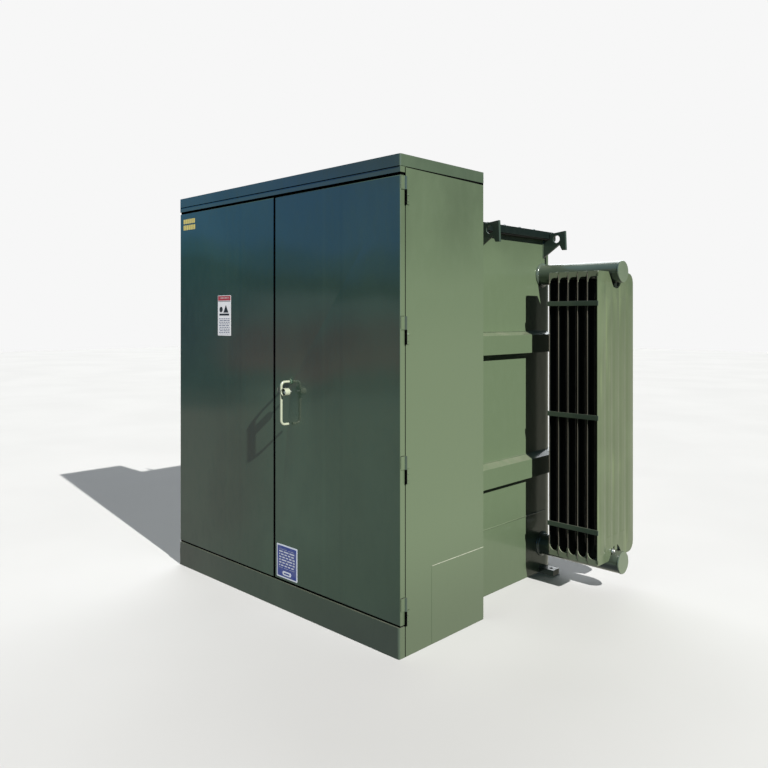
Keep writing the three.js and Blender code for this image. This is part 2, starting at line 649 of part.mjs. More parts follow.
function coil(index) {
  const x = (index - 1) * COIL_PITCH;
  const plan = roundedRectangle([x - 168, x + 168], [CORE_DEPTH - 210, CORE_DEPTH + 210], 80);
  const outer = upright(plan, [215, 895]);
  const bore = block([x - 76, x + 76], [CORE_DEPTH - 116, CORE_DEPTH + 116], [200, 900]);
  return cut(outer, bore);
}

// ---- assembly ----
place('cabinet_shell', cabinetShell(), FINISH.cabinet);
place('front_sill', frontSill(), FINISH.cabinet);
place('cabinet_hood', cabinetHood(), FINISH.cabinet);
place('compartment_barrier', compartmentBarrier(), FINISH.cabinet);
place('lv_door', lowVoltageDoor(), FINISH.cabinet);
place('hv_door', highVoltageDoor(), FINISH.cabinet);
place('door_handle', doorHandle(), FINISH.handle);
place('penta_bolt', pentaBolt(), FINISH.bolt);
place('latch_rod_upper', latchRod(HANDLE_AXIS_Z + 30, DOOR_TOP + 9), FINISH.bolt);
place('latch_rod_lower', latchRod(DOOR_BOTTOM - 5, HANDLE_AXIS_Z - 30), FINISH.bolt);

place('tank_body', tankBody(), FINISH.tank);
place('tank_cover', tankCover(), FINISH.tank);
for (const [name, heights] of Object.entries(STIFFENER_HEIGHTS)) place(name, stiffener(heights), FINISH.tank);
for (const [name, depth] of Object.entries(LUG_DEPTHS)) {
  place(`lifting_lug_${name}_right`, liftingLug(depth), FINISH.tank);
  place(`lifting_lug_${name}_left`, mirrored(liftingLug(depth)), FINISH.tank);
}
radiators();

HV_X.forEach((x, i) => place(`hv_bushing_${i + 1}`, highVoltageBushing(x), FINISH.rubber));
HV_X.forEach((x, i) => place(`fuse_holder_${i + 1}`, fuseHolder(x), FINISH.brass));
LV_X.forEach((x, i) => place(`lv_bushing_${i + 1}`, lowVoltageBushing(x), FINISH.epoxy));
place('load_break_switch_handle', switchHandle(), FINISH.red);
place('tap_changer_handle', tapChangerHandle(), FINISH.rubber);
place('oil_thermometer', gauge(560, 1500, 52), FINISH.gauge);
place('oil_level_gauge', gauge(400, 1640, 42), FINISH.gauge);
place('drain_valve_handwheel', drainWheel(), FINISH.red);
place('pressure_relief_valve', reliefValve(), FINISH.brass);
place('core', core(), FINISH.core);
[0, 1, 2].forEach((index) => place(`coil_${index + 1}`, coil(index), FINISH.coil));

export default transformer;
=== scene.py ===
"""Looks of a pad-mounted transformer: a two-door cabinet, an oil tank and two fin radiators.

Lengths in the dataclasses are millimetres. Depths are counted from the front plane of the doors, as in the
part's source, and at() turns a place into the frame's metres.
"""

import logging
import math
import random
from contextlib import contextmanager
from dataclasses import dataclass, field
from enum import Enum
from typing import Callable, Iterator, Sequence

import bmesh
import bpy
from mathutils import Euler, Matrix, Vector


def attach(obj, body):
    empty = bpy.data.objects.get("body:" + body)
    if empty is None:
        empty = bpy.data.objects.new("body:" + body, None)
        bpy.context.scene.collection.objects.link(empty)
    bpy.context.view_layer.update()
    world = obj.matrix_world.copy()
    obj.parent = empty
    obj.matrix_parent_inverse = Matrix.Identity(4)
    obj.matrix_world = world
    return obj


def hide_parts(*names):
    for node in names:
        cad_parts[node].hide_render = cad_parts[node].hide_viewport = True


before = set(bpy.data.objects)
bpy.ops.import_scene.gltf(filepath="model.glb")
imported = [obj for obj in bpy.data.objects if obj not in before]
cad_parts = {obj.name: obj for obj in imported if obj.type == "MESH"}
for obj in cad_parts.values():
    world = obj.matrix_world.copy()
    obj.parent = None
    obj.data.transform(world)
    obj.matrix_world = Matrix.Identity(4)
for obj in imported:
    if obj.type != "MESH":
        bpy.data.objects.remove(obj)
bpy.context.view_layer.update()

log = logging.getLogger("transformer")

MM = 0.001
DOOR_PLANE = 742.0
CABINET_HALF = 865.0
TANK_HALF = 700.0
HINGE_HEIGHTS = (191.0, 782.0, 1365.0, 1950.0)
# Metres within which two places count as one, and within which two vertices get merged.
NEAR = 0.0001
MERGED = 0.00002
# How squarely a face has to look along an axis to count as facing it.
FACING = 0.9
ROOT = "tank_and_cabinet"


def at(x: float, depth: float, z: float) -> Vector:
    """Turns a place in millimetres into the frame's metres.

    Args:
        x: Distance to the right of the middle.
        depth: Distance behind the front plane of the doors.
        z: Height over the ground.

    Returns:
        The point in the row frame.
    """
    return Vector((x * MM, (depth - DOOR_PLANE) * MM, z * MM))


def shade_of(colour: Sequence[float], share: float) -> tuple[float, ...]:
    """A lighter or darker shade of a colour."""
    return tuple(c * share for c in colour)


def runs(edge: bmesh.types.BMEdge, letter: str, least: float = NEAR) -> bool:
    """Whether an edge covers more than a least length, in metres, along one axis."""
    return abs(getattr(edge.verts[0].co - edge.verts[1].co, letter)) > least


class Side(Enum):
    """Which half of the transformer a piece is on."""

    RIGHT = 1
    LEFT = -1


class Level(Enum):
    """Which end of a radiator a piece is at."""

    TOP = 1
    BOTTOM = -1

    @property
    def word(self) -> str:
        """The level's name in the piece names."""
        return self.name.lower()


class Kind(Enum):
    """What an edit-mode selection is made of."""

    VERT = "VERT"
    EDGE = "EDGE"
    FACE = "FACE"


class Along(Enum):
    """The axis that a round piece is built along."""

    X = (1.0, 0.0, 0.0)
    OUT = (0.0, -1.0, 0.0)
    REAR = (0.0, 1.0, 0.0)
    Z = (0.0, 0.0, 1.0)


# ---- the node sheet that every finish draws on ----
class NodeSheet:
    """The node tree of one material, with a short call for each node that the finishes share."""

    def __init__(self, name: str) -> None:
        """Starts a material with a Principled shader and Object coordinates.

        Args:
            name: The material's name.
        """
        self.material = bpy.data.materials.new(name)
        self.material.use_nodes = True
        self.tree = self.material.node_tree
        self.tree.nodes.clear()
        self.shader = self.tree.nodes.new("ShaderNodeBsdfPrincipled")
        output = self.tree.nodes.new("ShaderNodeOutputMaterial")
        self.tree.links.new(self.shader.outputs["BSDF"], output.inputs["Surface"])
        self.place = self.tree.nodes.new("ShaderNodeTexCoord").outputs["Object"]

    def join(self, source: bpy.types.NodeSocket, target: str) -> None:
        """Links a value to one of the shader's inputs."""
        self.tree.links.new(source, self.shader.inputs[target])

    def constants(self, **values: object) -> None:
        """Sets the shader's own sockets; an underscore stands for a space."""
        for name, value in values.items():
            self.shader.inputs[name.replace("_", " ")].default_value = value

    def stretched(self, scale: Sequence[float]) -> bpy.types.NodeSocket:
        """Object coordinates through a Mapping node.

        Args:
            scale: How many times finer the pattern gets along X, Y and Z.

        Returns:
            The vector socket.
        """
        node = self.tree.nodes.new("ShaderNodeMapping")
        node.inputs["Scale"].default_value = scale
        self.tree.links.new(self.place, node.inputs["Vector"])
        return node.outputs["Vector"]

    def noise(self, scale: float, detail: float = 3.0, stretch: Sequence[float] = (1, 1, 1),
              twist: float = 0.0) -> bpy.types.NodeSocket:
        """Soft noise in object space.

        Args:
            scale: Noise scale, in cells per metre.
            detail: Octaves.
            stretch: Extra scale along each axis.
            twist: Distortion.

        Returns:
            The factor socket, about 0.3 to 0.7.
        """
        node = self.tree.nodes.new("ShaderNodeTexNoise")
        node.inputs["Scale"].default_value = scale
        node.inputs["Detail"].default_value = detail
        node.inputs["Distortion"].default_value = twist
        self.tree.links.new(self.stretched(stretch), node.inputs["Vector"])
        return node.outputs["Fac"]

    def wave(self, scale: float, axis: str, twist: float = 0.0) -> bpy.types.NodeSocket:
        """Straight bands across an axis, with a little distortion.

        Args:
            scale: How fine the bands are.
            axis: The axis that they are stacked along.
            twist: Distortion.

        Returns:
            The factor socket.
        """
        node = self.tree.nodes.new("ShaderNodeTexWave")
        node.bands_direction = axis
        node.inputs["Scale"].default_value = scale
        node.inputs["Distortion"].default_value = twist
        node.inputs["Detail Scale"].default_value = 2.0
        self.tree.links.new(self.place, node.inputs["Vector"])
        return node.outputs["Fac"]

    def spread(self, value: bpy.types.NodeSocket, low: float, high: float, to_low: float = 0.0,
               to_high: float = 1.0) -> bpy.types.NodeSocket:
        """Spreads a value's range smoothly over another range.

        Args:
            value: What is spread.
            low: Value that becomes to_low.
            high: Value that becomes to_high.
            to_low: Result at low.
            to_high: Result at high.

        Returns:
            The result socket.
        """
        node = self.tree.nodes.new("ShaderNodeMapRange")
        node.interpolation_type = "SMOOTHSTEP"
        for name, number in zip(("From Min", "From Max", "To Min", "To Max"), (low, high, to_low, to_high)):
            node.inputs[name].default_value = number
        self.tree.links.new(value, node.inputs["Value"])
        return node.outputs["Result"]

    def reckon(self, how: str, first: bpy.types.NodeSocket, second: object = 0.0) -> bpy.types.NodeSocket:
        """One Math node.

        Args:
            how: The Math node's operation.
            first: First value.
            second: A socket or a number, if the operation takes one.

        Returns:
            The result socket.
        """
        node = self.tree.nodes.new("ShaderNodeMath")
        node.operation = how
        self.tree.links.new(first, node.inputs[0])
        if isinstance(second, (int, float)):
            node.inputs[1].default_value = second
        else:
            self.tree.links.new(second, node.inputs[1])
        return node.outputs["Value"]

    def times(self, first: bpy.types.NodeSocket, second: object) -> bpy.types.NodeSocket:
        """The product of a socket and another one or a number."""
        return self.reckon("MULTIPLY", first, second)

    def away(self, letter: str, middle: float) -> bpy.types.NodeSocket:
        """How many metres away a point is, along an axis, from a place in millimetres."""
        return self.reckon("ABSOLUTE", self.reckon("SUBTRACT", self.axis(letter), middle * MM))

    def mix(self, share: bpy.types.NodeSocket, first: object, second: object) -> bpy.types.NodeSocket:
        """Mixes two colours.

        Args:
            share: How much of the second one shows.
            first: A colour socket or an RGB triple.
            second: A colour socket or an RGB triple.

        Returns:
            The colour socket.
        """
        node = self.tree.nodes.new("ShaderNodeMix")
        node.data_type = "RGBA"
        self.tree.links.new(share, node.inputs["Factor"])
        for socket, value in ((node.inputs[6], first), (node.inputs[7], second)):
            if isinstance(value, bpy.types.NodeSocket):
                self.tree.links.new(value, socket)
            else:
                socket.default_value = (*value, 1.0)
        return node.outputs[2]

    def part(self, vector: bpy.types.NodeSocket, letter: str) -> bpy.types.NodeSocket:
        """One coordinate of a vector.

        Args:
            vector: The vector socket.
            letter: X, Y or Z.

        Returns:
            The coordinate's socket.
        """
        node = self.tree.nodes.new("ShaderNodeSeparateXYZ")
        self.tree.links.new(vector, node.inputs["Vector"])
        return node.outputs[letter]

    def axis(self, letter: str) -> bpy.types.NodeSocket:
        """One of the object coordinates."""
        return self.part(self.place, letter)

    def facing_up(self) -> bpy.types.NodeSocket:
        """The height of the surface normal: 1 on top, 0 on a wall."""
        return self.part(self.tree.nodes.new("ShaderNodeNewGeometry").outputs["Normal"], "Z")

    def bump(self, height: bpy.types.NodeSocket, distance: float,
             under: bpy.types.NodeSocket | None = None) -> bpy.types.NodeSocket:
        """Turns a height into a normal.

        Args:
            height: Height from 0 to 1.
            distance: Metres between height 0 and 1.
            under: A normal that this one lies on, or None.

        Returns:
            The normal socket.
        """
        node = self.tree.nodes.new("ShaderNodeBump")
        node.inputs["Distance"].default_value = distance
        self.tree.links.new(height, node.inputs["Height"])
        if under is not None:
            self.tree.links.new(under, node.inputs["Normal"])
        return node.outputs["Normal"]


# ---- finishes ----
# The colour of settled dust, and half the millimetres over which a slow fold rises.
DUST = (0.27, 0.26, 0.2)
FOLD = 14.0


@dataclass(frozen=True)
class Enamel:
    """Sprayed gloss enamel on sheet steel.

    It has orange peel, slow sheet ripple, a weathered tone and dust on what faces up. A finish may also
    have pale streaks (streaks), the lumps of a weld (bead), a painted reflection of the bright ground that
    makes all but the top paler, with a darker foot, or one slow fold down the middle of a sheet (band: its
    middle and half width).
    """

    name: str
    colour: tuple[float, float, float]
    tone: float = 0.14
    roughness: float = 0.34
    coat_roughness: float = 0.05
    coat: float = 1.0
    specular: float = 0.3
    ripple: float = 0.0012
    peel: float = 0.00006
    dust: float = 0.5
    streaks: float = 0.0
    bead: float = 0.0
    # Painted reflection of the bright ground: all below 1.5 m gets paler by this share; it also turns on the
    # darker foot.
    ground_sheen: float = 0.0
    band: tuple[float, float] | None = None

    def material(self) -> bpy.types.Material:
        """Draws the finish.

        Returns:
            The material.
        """
        sheet = NodeSheet(self.name)
        cloud = sheet.spread(sheet.noise(2.3, 5, (1, 1, 0.7), 0.4), 0.36, 0.66)
        dark, light = shade_of(self.colour, 1 - self.tone), shade_of(self.colour, 1 + self.tone * 0.6)
        colour = sheet.mix(cloud, dark, light)
        # Painted reflection: below 1.5 m the paint is paler, for the bright ground that it mirrors; then it
        # grows darker towards the foot.
        if self.ground_sheen:
            sheened = sheet.spread(sheet.axis("Z"), 1.5, 1.95, 1.0, 0.0)
            colour = sheet.mix(sheened, colour, shade_of(self.colour, 1 + self.ground_sheen))
            darker_foot = sheet.spread(sheet.axis("Z"), 0.0, 0.55, 0.7, 0.0)
            colour = sheet.mix(darker_foot, colour, shade_of(self.colour, 0.7))
        speck = sheet.spread(sheet.noise(190, 2), 0.62, 0.78)
        colour = sheet.mix(sheet.times(speck, 0.16), colour, shade_of(self.colour, 0.55))
        if self.streaks:
            run = sheet.spread(sheet.noise(9, 3, (3.2, 3.2, 0.16)), 0.52, 0.72)
            patch = sheet.spread(sheet.noise(1.7, 2), 0.42, 0.6)
            pale = tuple(c * 1.45 + d for c, d in zip(self.colour, (0.03, 0.03, 0.0)))
            colour = sheet.mix(sheet.times(sheet.times(run, patch), self.streaks), colour, pale)
        settled = sheet.spread(sheet.facing_up(), 0.55, 0.98)
        dust = sheet.times(settled, sheet.spread(sheet.noise(14, 6), 0.3, 0.75, 0.2, self.dust))
        colour = sheet.mix(dust, colour, DUST)
        sheet.join(colour, "Base Color")
        scuff = sheet.spread(sheet.noise(31, 5, (1, 1, 0.4)), 0.4, 0.7, self.roughness - 0.05,
                             self.roughness + 0.1)
        sheet.join(sheet.reckon("ADD", scuff, sheet.times(dust, 0.4)), "Roughness")
        normal = sheet.bump(sheet.noise(3.4, 1, (1, 1, 0.8)), self.ripple)
        if self.band is not None:
            centre, half = self.band
            fold = sheet.spread(sheet.away("X", centre), (half - FOLD) * MM, (half + FOLD) * MM)
            normal = sheet.bump(fold, 0.00045, normal)
        if self.bead:
            normal = sheet.bump(sheet.noise(130, 2, (1, 1, 1), 0.8), self.bead, normal)
        sheet.join(sheet.bump(sheet.noise(330, 1), self.peel, normal), "Normal")
        sheet.constants(Specular_IOR_Level=self.specular, Coat_Weight=self.coat,
                        Coat_Roughness=self.coat_roughness, Coat_IOR=1.5)
        return sheet.material


@dataclass(frozen=True)
class Plated:
    """Plated, cast or brushed metal with fine lines and a little tarnish."""

    name: str
    colour: tuple[float, float, float]
    tarnish: tuple[float, float, float]
    roughness: float = 0.3
    lines: tuple[float, float, float] = (1.0, 1.0, 14.0)
    worn: float = 0.5

    def material(self) -> bpy.types.Material:
        """Draws the finish.

        Returns:
            The material.
        """
        sheet = NodeSheet(self.name)
        patch = sheet.spread(sheet.noise(45, 5, twist=0.6), 0.42, 0.68, 0.0, self.worn)
        sheet.join(sheet.mix(patch, self.colour, self.tarnish), "Base Color")
        brushed = sheet.noise(160, 3, self.lines)
        fine = sheet.spread(brushed, 0.3, 0.7, self.roughness - 0.08, self.roughness + 0.14)
        sheet.join(sheet.reckon("ADD", fine, sheet.times(patch, 0.2)), "Roughness")
        sheet.join(sheet.bump(brushed, 0.00004), "Normal")
        sheet.constants(Metallic=0.95)
        return sheet.material


@dataclass(frozen=True)
class Moulded:
    """Moulded rubber, plastic or cast resin with a fine grain and handling marks."""

    name: str
    colour: tuple[float, float, float]
    marks: tuple[float, float, float]
    roughness: float = 0.5
    grain: float = 0.00012
    coat: float = 0.0
    specular: float = 0.5

    def material(self) -> bpy.types.Material:
        """Draws the finish.

        Returns:
            The material.
        """
        sheet = NodeSheet(self.name)
        smear = sheet.spread(sheet.noise(22, 5, twist=0.5), 0.42, 0.7)
        sheet.join(sheet.mix(sheet.times(smear, 0.6), self.colour, self.marks), "Base Color")
        worn = sheet.spread(sheet.noise(60, 4), 0.3, 0.7, self.roughness - 0.08, self.roughness + 0.12)
        sheet.join(worn, "Roughness")
        sheet.join(sheet.bump(sheet.noise(420, 2), self.grain), "Normal")
        sheet.constants(Coat_Weight=self.coat, Coat_Roughness=0.12, Specular_IOR_Level=self.specular)
        return sheet.material


@dataclass(frozen=True)
class Layered:
    """Stacked sheet or wound turns: thin bands across one axis."""

    name: str
    colour: tuple[float, float, float]
    gap: tuple[float, float, float]
    bands: float
    axis: str
    roughness: float = 0.5
    metallic: float = 0.0

    def material(self) -> bpy.types.Material:
        """Draws the finish.

        Returns:
            The material.
        """
        sheet = NodeSheet(self.name)
        band = sheet.wave(self.bands, self.axis, 0.4)
        stain = sheet.spread(sheet.noise(9, 5), 0.35, 0.7, 0.0, 0.45)
        colour = sheet.mix(sheet.spread(band, 0.1, 0.55), self.gap, self.colour)
        sheet.join(sheet.mix(stain, colour, shade_of(self.colour, 0.6)), "Base Color")
        sheet.join(sheet.spread(stain, 0.0, 0.45, self.roughness, self.roughness - 0.2), "Roughness")
        sheet.join(sheet.bump(band, 0.0008), "Normal")
        sheet.constants(Metallic=self.metallic)
        return sheet.material


@dataclass(frozen=True)
class Print:
    """A printed film: an ink ground with rows of short marks that say nothing, faded and a little scuffed,
    and where one is given, emission as painted light.
    """

    name: str
    ground: tuple[float, float, float]
    ink: tuple[float, float, float]
    row: float = 0.0
    dash: float = 0.03
    centre: tuple[float, float] = (0.0, 0.0)
    reach: tuple[float, float] = (1.0, 1.0)
    # Emission strength that paints light onto the film, so it reads brighter than its lighting makes it.
    painted_glow: float = 0.0

    def material(self) -> bpy.types.Material:
        """Draws the finish.

        Returns:
            The material.
        """
        sheet = NodeSheet(self.name)
        fade = sheet.spread(sheet.noise(26, 5), 0.35, 0.7, 0.0, 0.16)
        colour = sheet.mix(fade, self.ground, (0.55, 0.55, 0.5))
        if self.row:
            brick = sheet.tree.nodes.new("ShaderNodeTexBrick")
            turn = sheet.tree.nodes.new("ShaderNodeMapping")
            turn.inputs["Rotation"].default_value = (math.pi / 2, 0, 0)
            sheet.tree.links.new(sheet.place, turn.inputs["Vector"])
            sheet.tree.links.new(turn.outputs["Vector"], brick.inputs["Vector"])
            for name, value in (("Scale", 1.0), ("Mortar Size", self.row * 0.32), ("Mortar Smooth", 0.3),
                                ("Brick Width", self.dash), ("Row Height", self.row), ("Bias", 0.0)):
                brick.inputs[name].default_value = value
            brick.squash, brick.squash_frequency, brick.offset = 1.7, 3, 0.37
            inked = sheet.reckon("ABSOLUTE", sheet.reckon("SUBTRACT", brick.outputs["Fac"], 1.0))
            for letter, middle, half in zip("XZ", self.centre, self.reach):
                window = sheet.spread(sheet.away(letter, middle), (half - 1) * MM, half * MM, 1.0, 0.0)
                inked = sheet.times(inked, window)
            colour = sheet.mix(inked, colour, self.ink)
        sheet.join(colour, "Base Color")
        sheet.join(sheet.spread(sheet.noise(80, 4), 0.3, 0.7, 0.3, 0.46), "Roughness")
        sheet.join(sheet.bump(sheet.noise(60, 3), 0.0001), "Normal")
        # Painted light: emission of the film's own colour.
        if self.painted_glow:
            sheet.join(colour, "Emission Color")
            sheet.constants(Emission_Strength=self.painted_glow)
        return sheet.material


@dataclass(frozen=True)
class Dial:
    """A gauge face: pale ground, ring of ticks and a coloured arc."""

    name: str
    centre: tuple[float, float]
    radius: float
    arc: tuple[float, float, float] = (0.5, 0.05, 0.03)

    def ring(self, sheet: NodeSheet, out: bpy.types.NodeSocket, inner: float,
             outer: float) -> bpy.types.NodeSocket:
        """A ring round the dial's middle.

        Args:
            sheet: The dial's node sheet.
            out: The distance from the middle.
            inner: Where the ring begins, as a share of the dial's radius.
            outer: Where it ends.

        Returns:
            A socket that is 1 on the ring and 0 off it.
        """
        size, soft = self.radius * MM, 0.02
        return sheet.times(sheet.spread(out, size * inner, size * (inner + soft)),
                           sheet.spread(out, size * outer, size * (outer + soft), 1.0, 0.0))

    def material(self) -> bpy.types.Material:
        """Draws the finish.

        Returns:
            The material.
        """
        sheet = NodeSheet(self.name)
        x = sheet.reckon("SUBTRACT", sheet.axis("X"), self.centre[0] * MM)
        z = sheet.reckon("SUBTRACT", sheet.axis("Z"), self.centre[1] * MM)
        out = sheet.reckon("POWER", sheet.reckon("ADD", sheet.times(x, x), sheet.times(z, z)), 0.5)
        turn = sheet.reckon("ARCTAN2", x, z)
        ticks = sheet.spread(sheet.reckon("SINE", sheet.times(turn, 30.0)), 0.7, 0.85)
        scale = sheet.spread(sheet.reckon("ABSOLUTE", turn), 2.3, 2.35, 1.0, 0.0)
        mark = sheet.times(sheet.times(ticks, self.ring(sheet, out, 0.72, 0.86)), scale)
        colour = sheet.mix(mark, (0.72, 0.72, 0.68), (0.02, 0.02, 0.02))
        hot = sheet.times(sheet.times(sheet.spread(turn, 1.35, 1.4), scale), self.ring(sheet, out, 0.6, 0.68))
        colour = sheet.mix(hot, colour, self.arc)
        sheet.join(sheet.mix(sheet.spread(sheet.noise(40, 4), 0.4, 0.8, 0.0, 0.15), colour, (0.4, 0.38, 0.3)),
                   "Base Color")
        sheet.join(sheet.spread(sheet.noise(90, 3), 0.3, 0.7, 0.25, 0.4), "Roughness")
        sheet.constants(Coat_Weight=1.0, Coat_Roughness=0.03)
        return sheet.material


CABINET_GREEN = (0.108, 0.149, 0.088)
TANK_GREEN = (0.114, 0.158, 0.092)
# Painted shade: the door fronts are a darker, less red copy of the cabinet green, for the little sun they
# get.
DOOR_SHADE_GREEN = (0.075, 0.128, 0.086)
RADIATOR_GREEN = (0.138, 0.18, 0.102)
# Painted shade: the lugs' dark green stands for the shade on their fronts.
LUG_SHADE_GREEN = (0.044, 0.068, 0.052)


class Finishes(Enum):
    """Every finish on the transformer, drawn once when it is first asked for."""

    # The cabinet and the tank are paler below 1.5 m, a painted reflection of the bright ground.
    CABINET = Enamel("cabinet_enamel", CABINET_GREEN, ground_sheen=0.2)
    # Painted shade: the sill's front is a darker green than its sides.
    SILL = Enamel("sill_enamel", (0.08, 0.112, 0.08), ripple=0.0006, coat_roughness=0.12)
    # Painted shade: the darker door green on the fronts of both leaves.
    LV_DOOR = Enamel("lv_door_enamel", DOOR_SHADE_GREEN, ripple=0.0022, band=(445, 59))
    HV_DOOR = Enamel("hv_door_enamel", DOOR_SHADE_GREEN, ripple=0.0022, band=(-330, 59))
    HOOD = Enamel("hood_enamel", (0.084, 0.12, 0.076), dust=0.6)
    TANK = Enamel("tank_enamel", TANK_GREEN, tone=0.18, ground_sheen=0.14, ripple=0.003, coat_roughness=0.1,
                  coat=0.6)
    COVER = Enamel("cover_enamel", (0.007, 0.013, 0.011), coat_roughness=0.12, coat=0.4, dust=0.2)
    LUG = Enamel("lug_enamel", LUG_SHADE_GREEN, coat_roughness=0.12, coat=0.5, dust=0.2)
    # Painted highlight: a pale paint for edges that catch the light.
    WORN = Enamel("worn_edge", (0.42, 0.44, 0.36), tone=0.2, roughness=0.45, coat=0.2)
    RADIATOR = Enamel("radiator_enamel", RADIATOR_GREEN, tone=0.2, ripple=0.002, coat_roughness=0.12,
                      streaks=0.5, dust=0.25)
    # Painted shade and light: the header pipes are a darker copy of the radiator green, their end caps a
    # paler one.
    PIPE = Enamel("pipe_enamel", (0.1, 0.133, 0.098), tone=0.2, coat_roughness=0.12, dust=0.15)
    CAP = Enamel("cap_enamel", (0.165, 0.212, 0.142), tone=0.12, coat_roughness=0.12)
    # Painted light: a pale green for the gap heads, standing for the sunlit arcs between the panels.
    SHOULDER = Enamel("shoulder_enamel", (0.25, 0.29, 0.2), tone=0.2, coat_roughness=0.15, dust=0.2)
    # Painted highlight: a pale brownish paint on the front rims of the inner panels.
    RIM = Enamel("rim_enamel", (0.3, 0.26, 0.22), tone=0.3, coat=0.4, coat_roughness=0.2, dust=0.2)
    # Painted shade: near black for the panel faces deep in the gaps, where the light doesn't reach.
    RADIATOR_DEEP = Enamel("radiator_grime", (0.012, 0.015, 0.012), specular=0.1, roughness=0.6, coat=0.15)
    # Dark green of the braces, also used as painted shade on the door's hinge knuckles.
    BRACE = Enamel("brace_enamel", (0.06, 0.088, 0.066), coat_roughness=0.1)
    WELD = Enamel("weld_enamel", TANK_GREEN, tone=0.25, bead=0.0011, coat_roughness=0.12)
    HANDLE = Enamel("handle_enamel", (0.43, 0.47, 0.35), tone=0.1, roughness=0.4, coat_roughness=0.16,
                    ripple=0.0002)
    INTERIOR = Enamel("interior_enamel", (0.13, 0.17, 0.11), tone=0.1, coat_roughness=0.2, dust=0.2)
    RED = Enamel("red_enamel", (0.42, 0.03, 0.02), tone=0.12, coat_roughness=0.1, ripple=0.0002)
    STEEL = Plated("plated_steel", (0.6, 0.6, 0.56), (0.3, 0.28, 0.22))
    BRASS = Plated("brass_metal", (0.62, 0.42, 0.16), (0.25, 0.17, 0.08), lines=(14.0, 1.0, 1.0))
    GAUGE = Plated("gauge_bezel", (0.66, 0.66, 0.64), (0.35, 0.35, 0.34), 0.22)
    TINNED = Plated("tinned_copper", (0.62, 0.6, 0.56), (0.4, 0.27, 0.18), 0.34)
    RUBBER = Moulded("epdm_rubber", (0.018, 0.018, 0.02), (0.06, 0.06, 0.062), 0.55)
    EPOXY = Moulded("cast_resin", (0.16, 0.062, 0.035), (0.24, 0.11, 0.07), 0.35, coat=0.5)
    KNOB = Moulded("knob_plastic", (0.02, 0.02, 0.022), (0.09, 0.09, 0.09), 0.4)
    GASKET = Moulded("cork_gasket", (0.012, 0.011, 0.01), (0.03, 0.025, 0.02), 0.8, 0.0004)
    # Painted shade: near black, for the strips and faces put in gaps, slots and hinge knuckles.
    JOINT = Moulded("joint_sealant", (0.002, 0.002, 0.0025), (0.006, 0.006, 0.006), 0.8, 0.0002, specular=0.0)
    CORE = Layered("laminated_steel", (0.2, 0.21, 0.23), (0.03, 0.03, 0.035), 260.0, "Y", 0.45, 0.85)
    COIL = Layered("wound_paper", (0.5, 0.32, 0.14), (0.16, 0.08, 0.03), 60.0, "Z", 0.7)
    # The films carry painted light: emission that makes them read brighter than their lighting does.
    WHITE_FILM = Print("white_film", (0.86, 0.87, 0.9), (0.1, 0.12, 0.2), 0.0092, 0.021, (-418, 1372),
                       (50, 43), 0.45)
    RED_FILM = Print("red_film", (0.55, 0.05, 0.07), (0.8, 0.7, 0.7), 0.011, 0.03, (-418, 1522),
                     (40, 6), 0.25)
    BLACK_FILM = Print("black_film", (0.018, 0.018, 0.02), (0.1, 0.1, 0.1))
    BLUE_FILM = Print("blue_film", (0.03, 0.055, 0.3), (0.7, 0.74, 0.85), 0.0135, 0.026, (116, 243), (60, 46),
                      0.3)
    PALE_FILM = Print("pale_film", (0.75, 0.8, 0.9), (0.03, 0.05, 0.25), painted_glow=0.35)
    YELLOW_FILM = Print("yellow_film", (0.75, 0.62, 0.16), (0.3, 0.25, 0.05), painted_glow=0.4)
    OIL_DIAL = Dial("oil_dial", (560, 1500), 52)
    LEVEL_DIAL = Dial("level_dial", (400, 1640), 42)

    def drawn(self) -> bpy.types.Material:
        """The finish's material, made once."""
        return bpy.data.materials.get(self.value.name) or self.value.material()


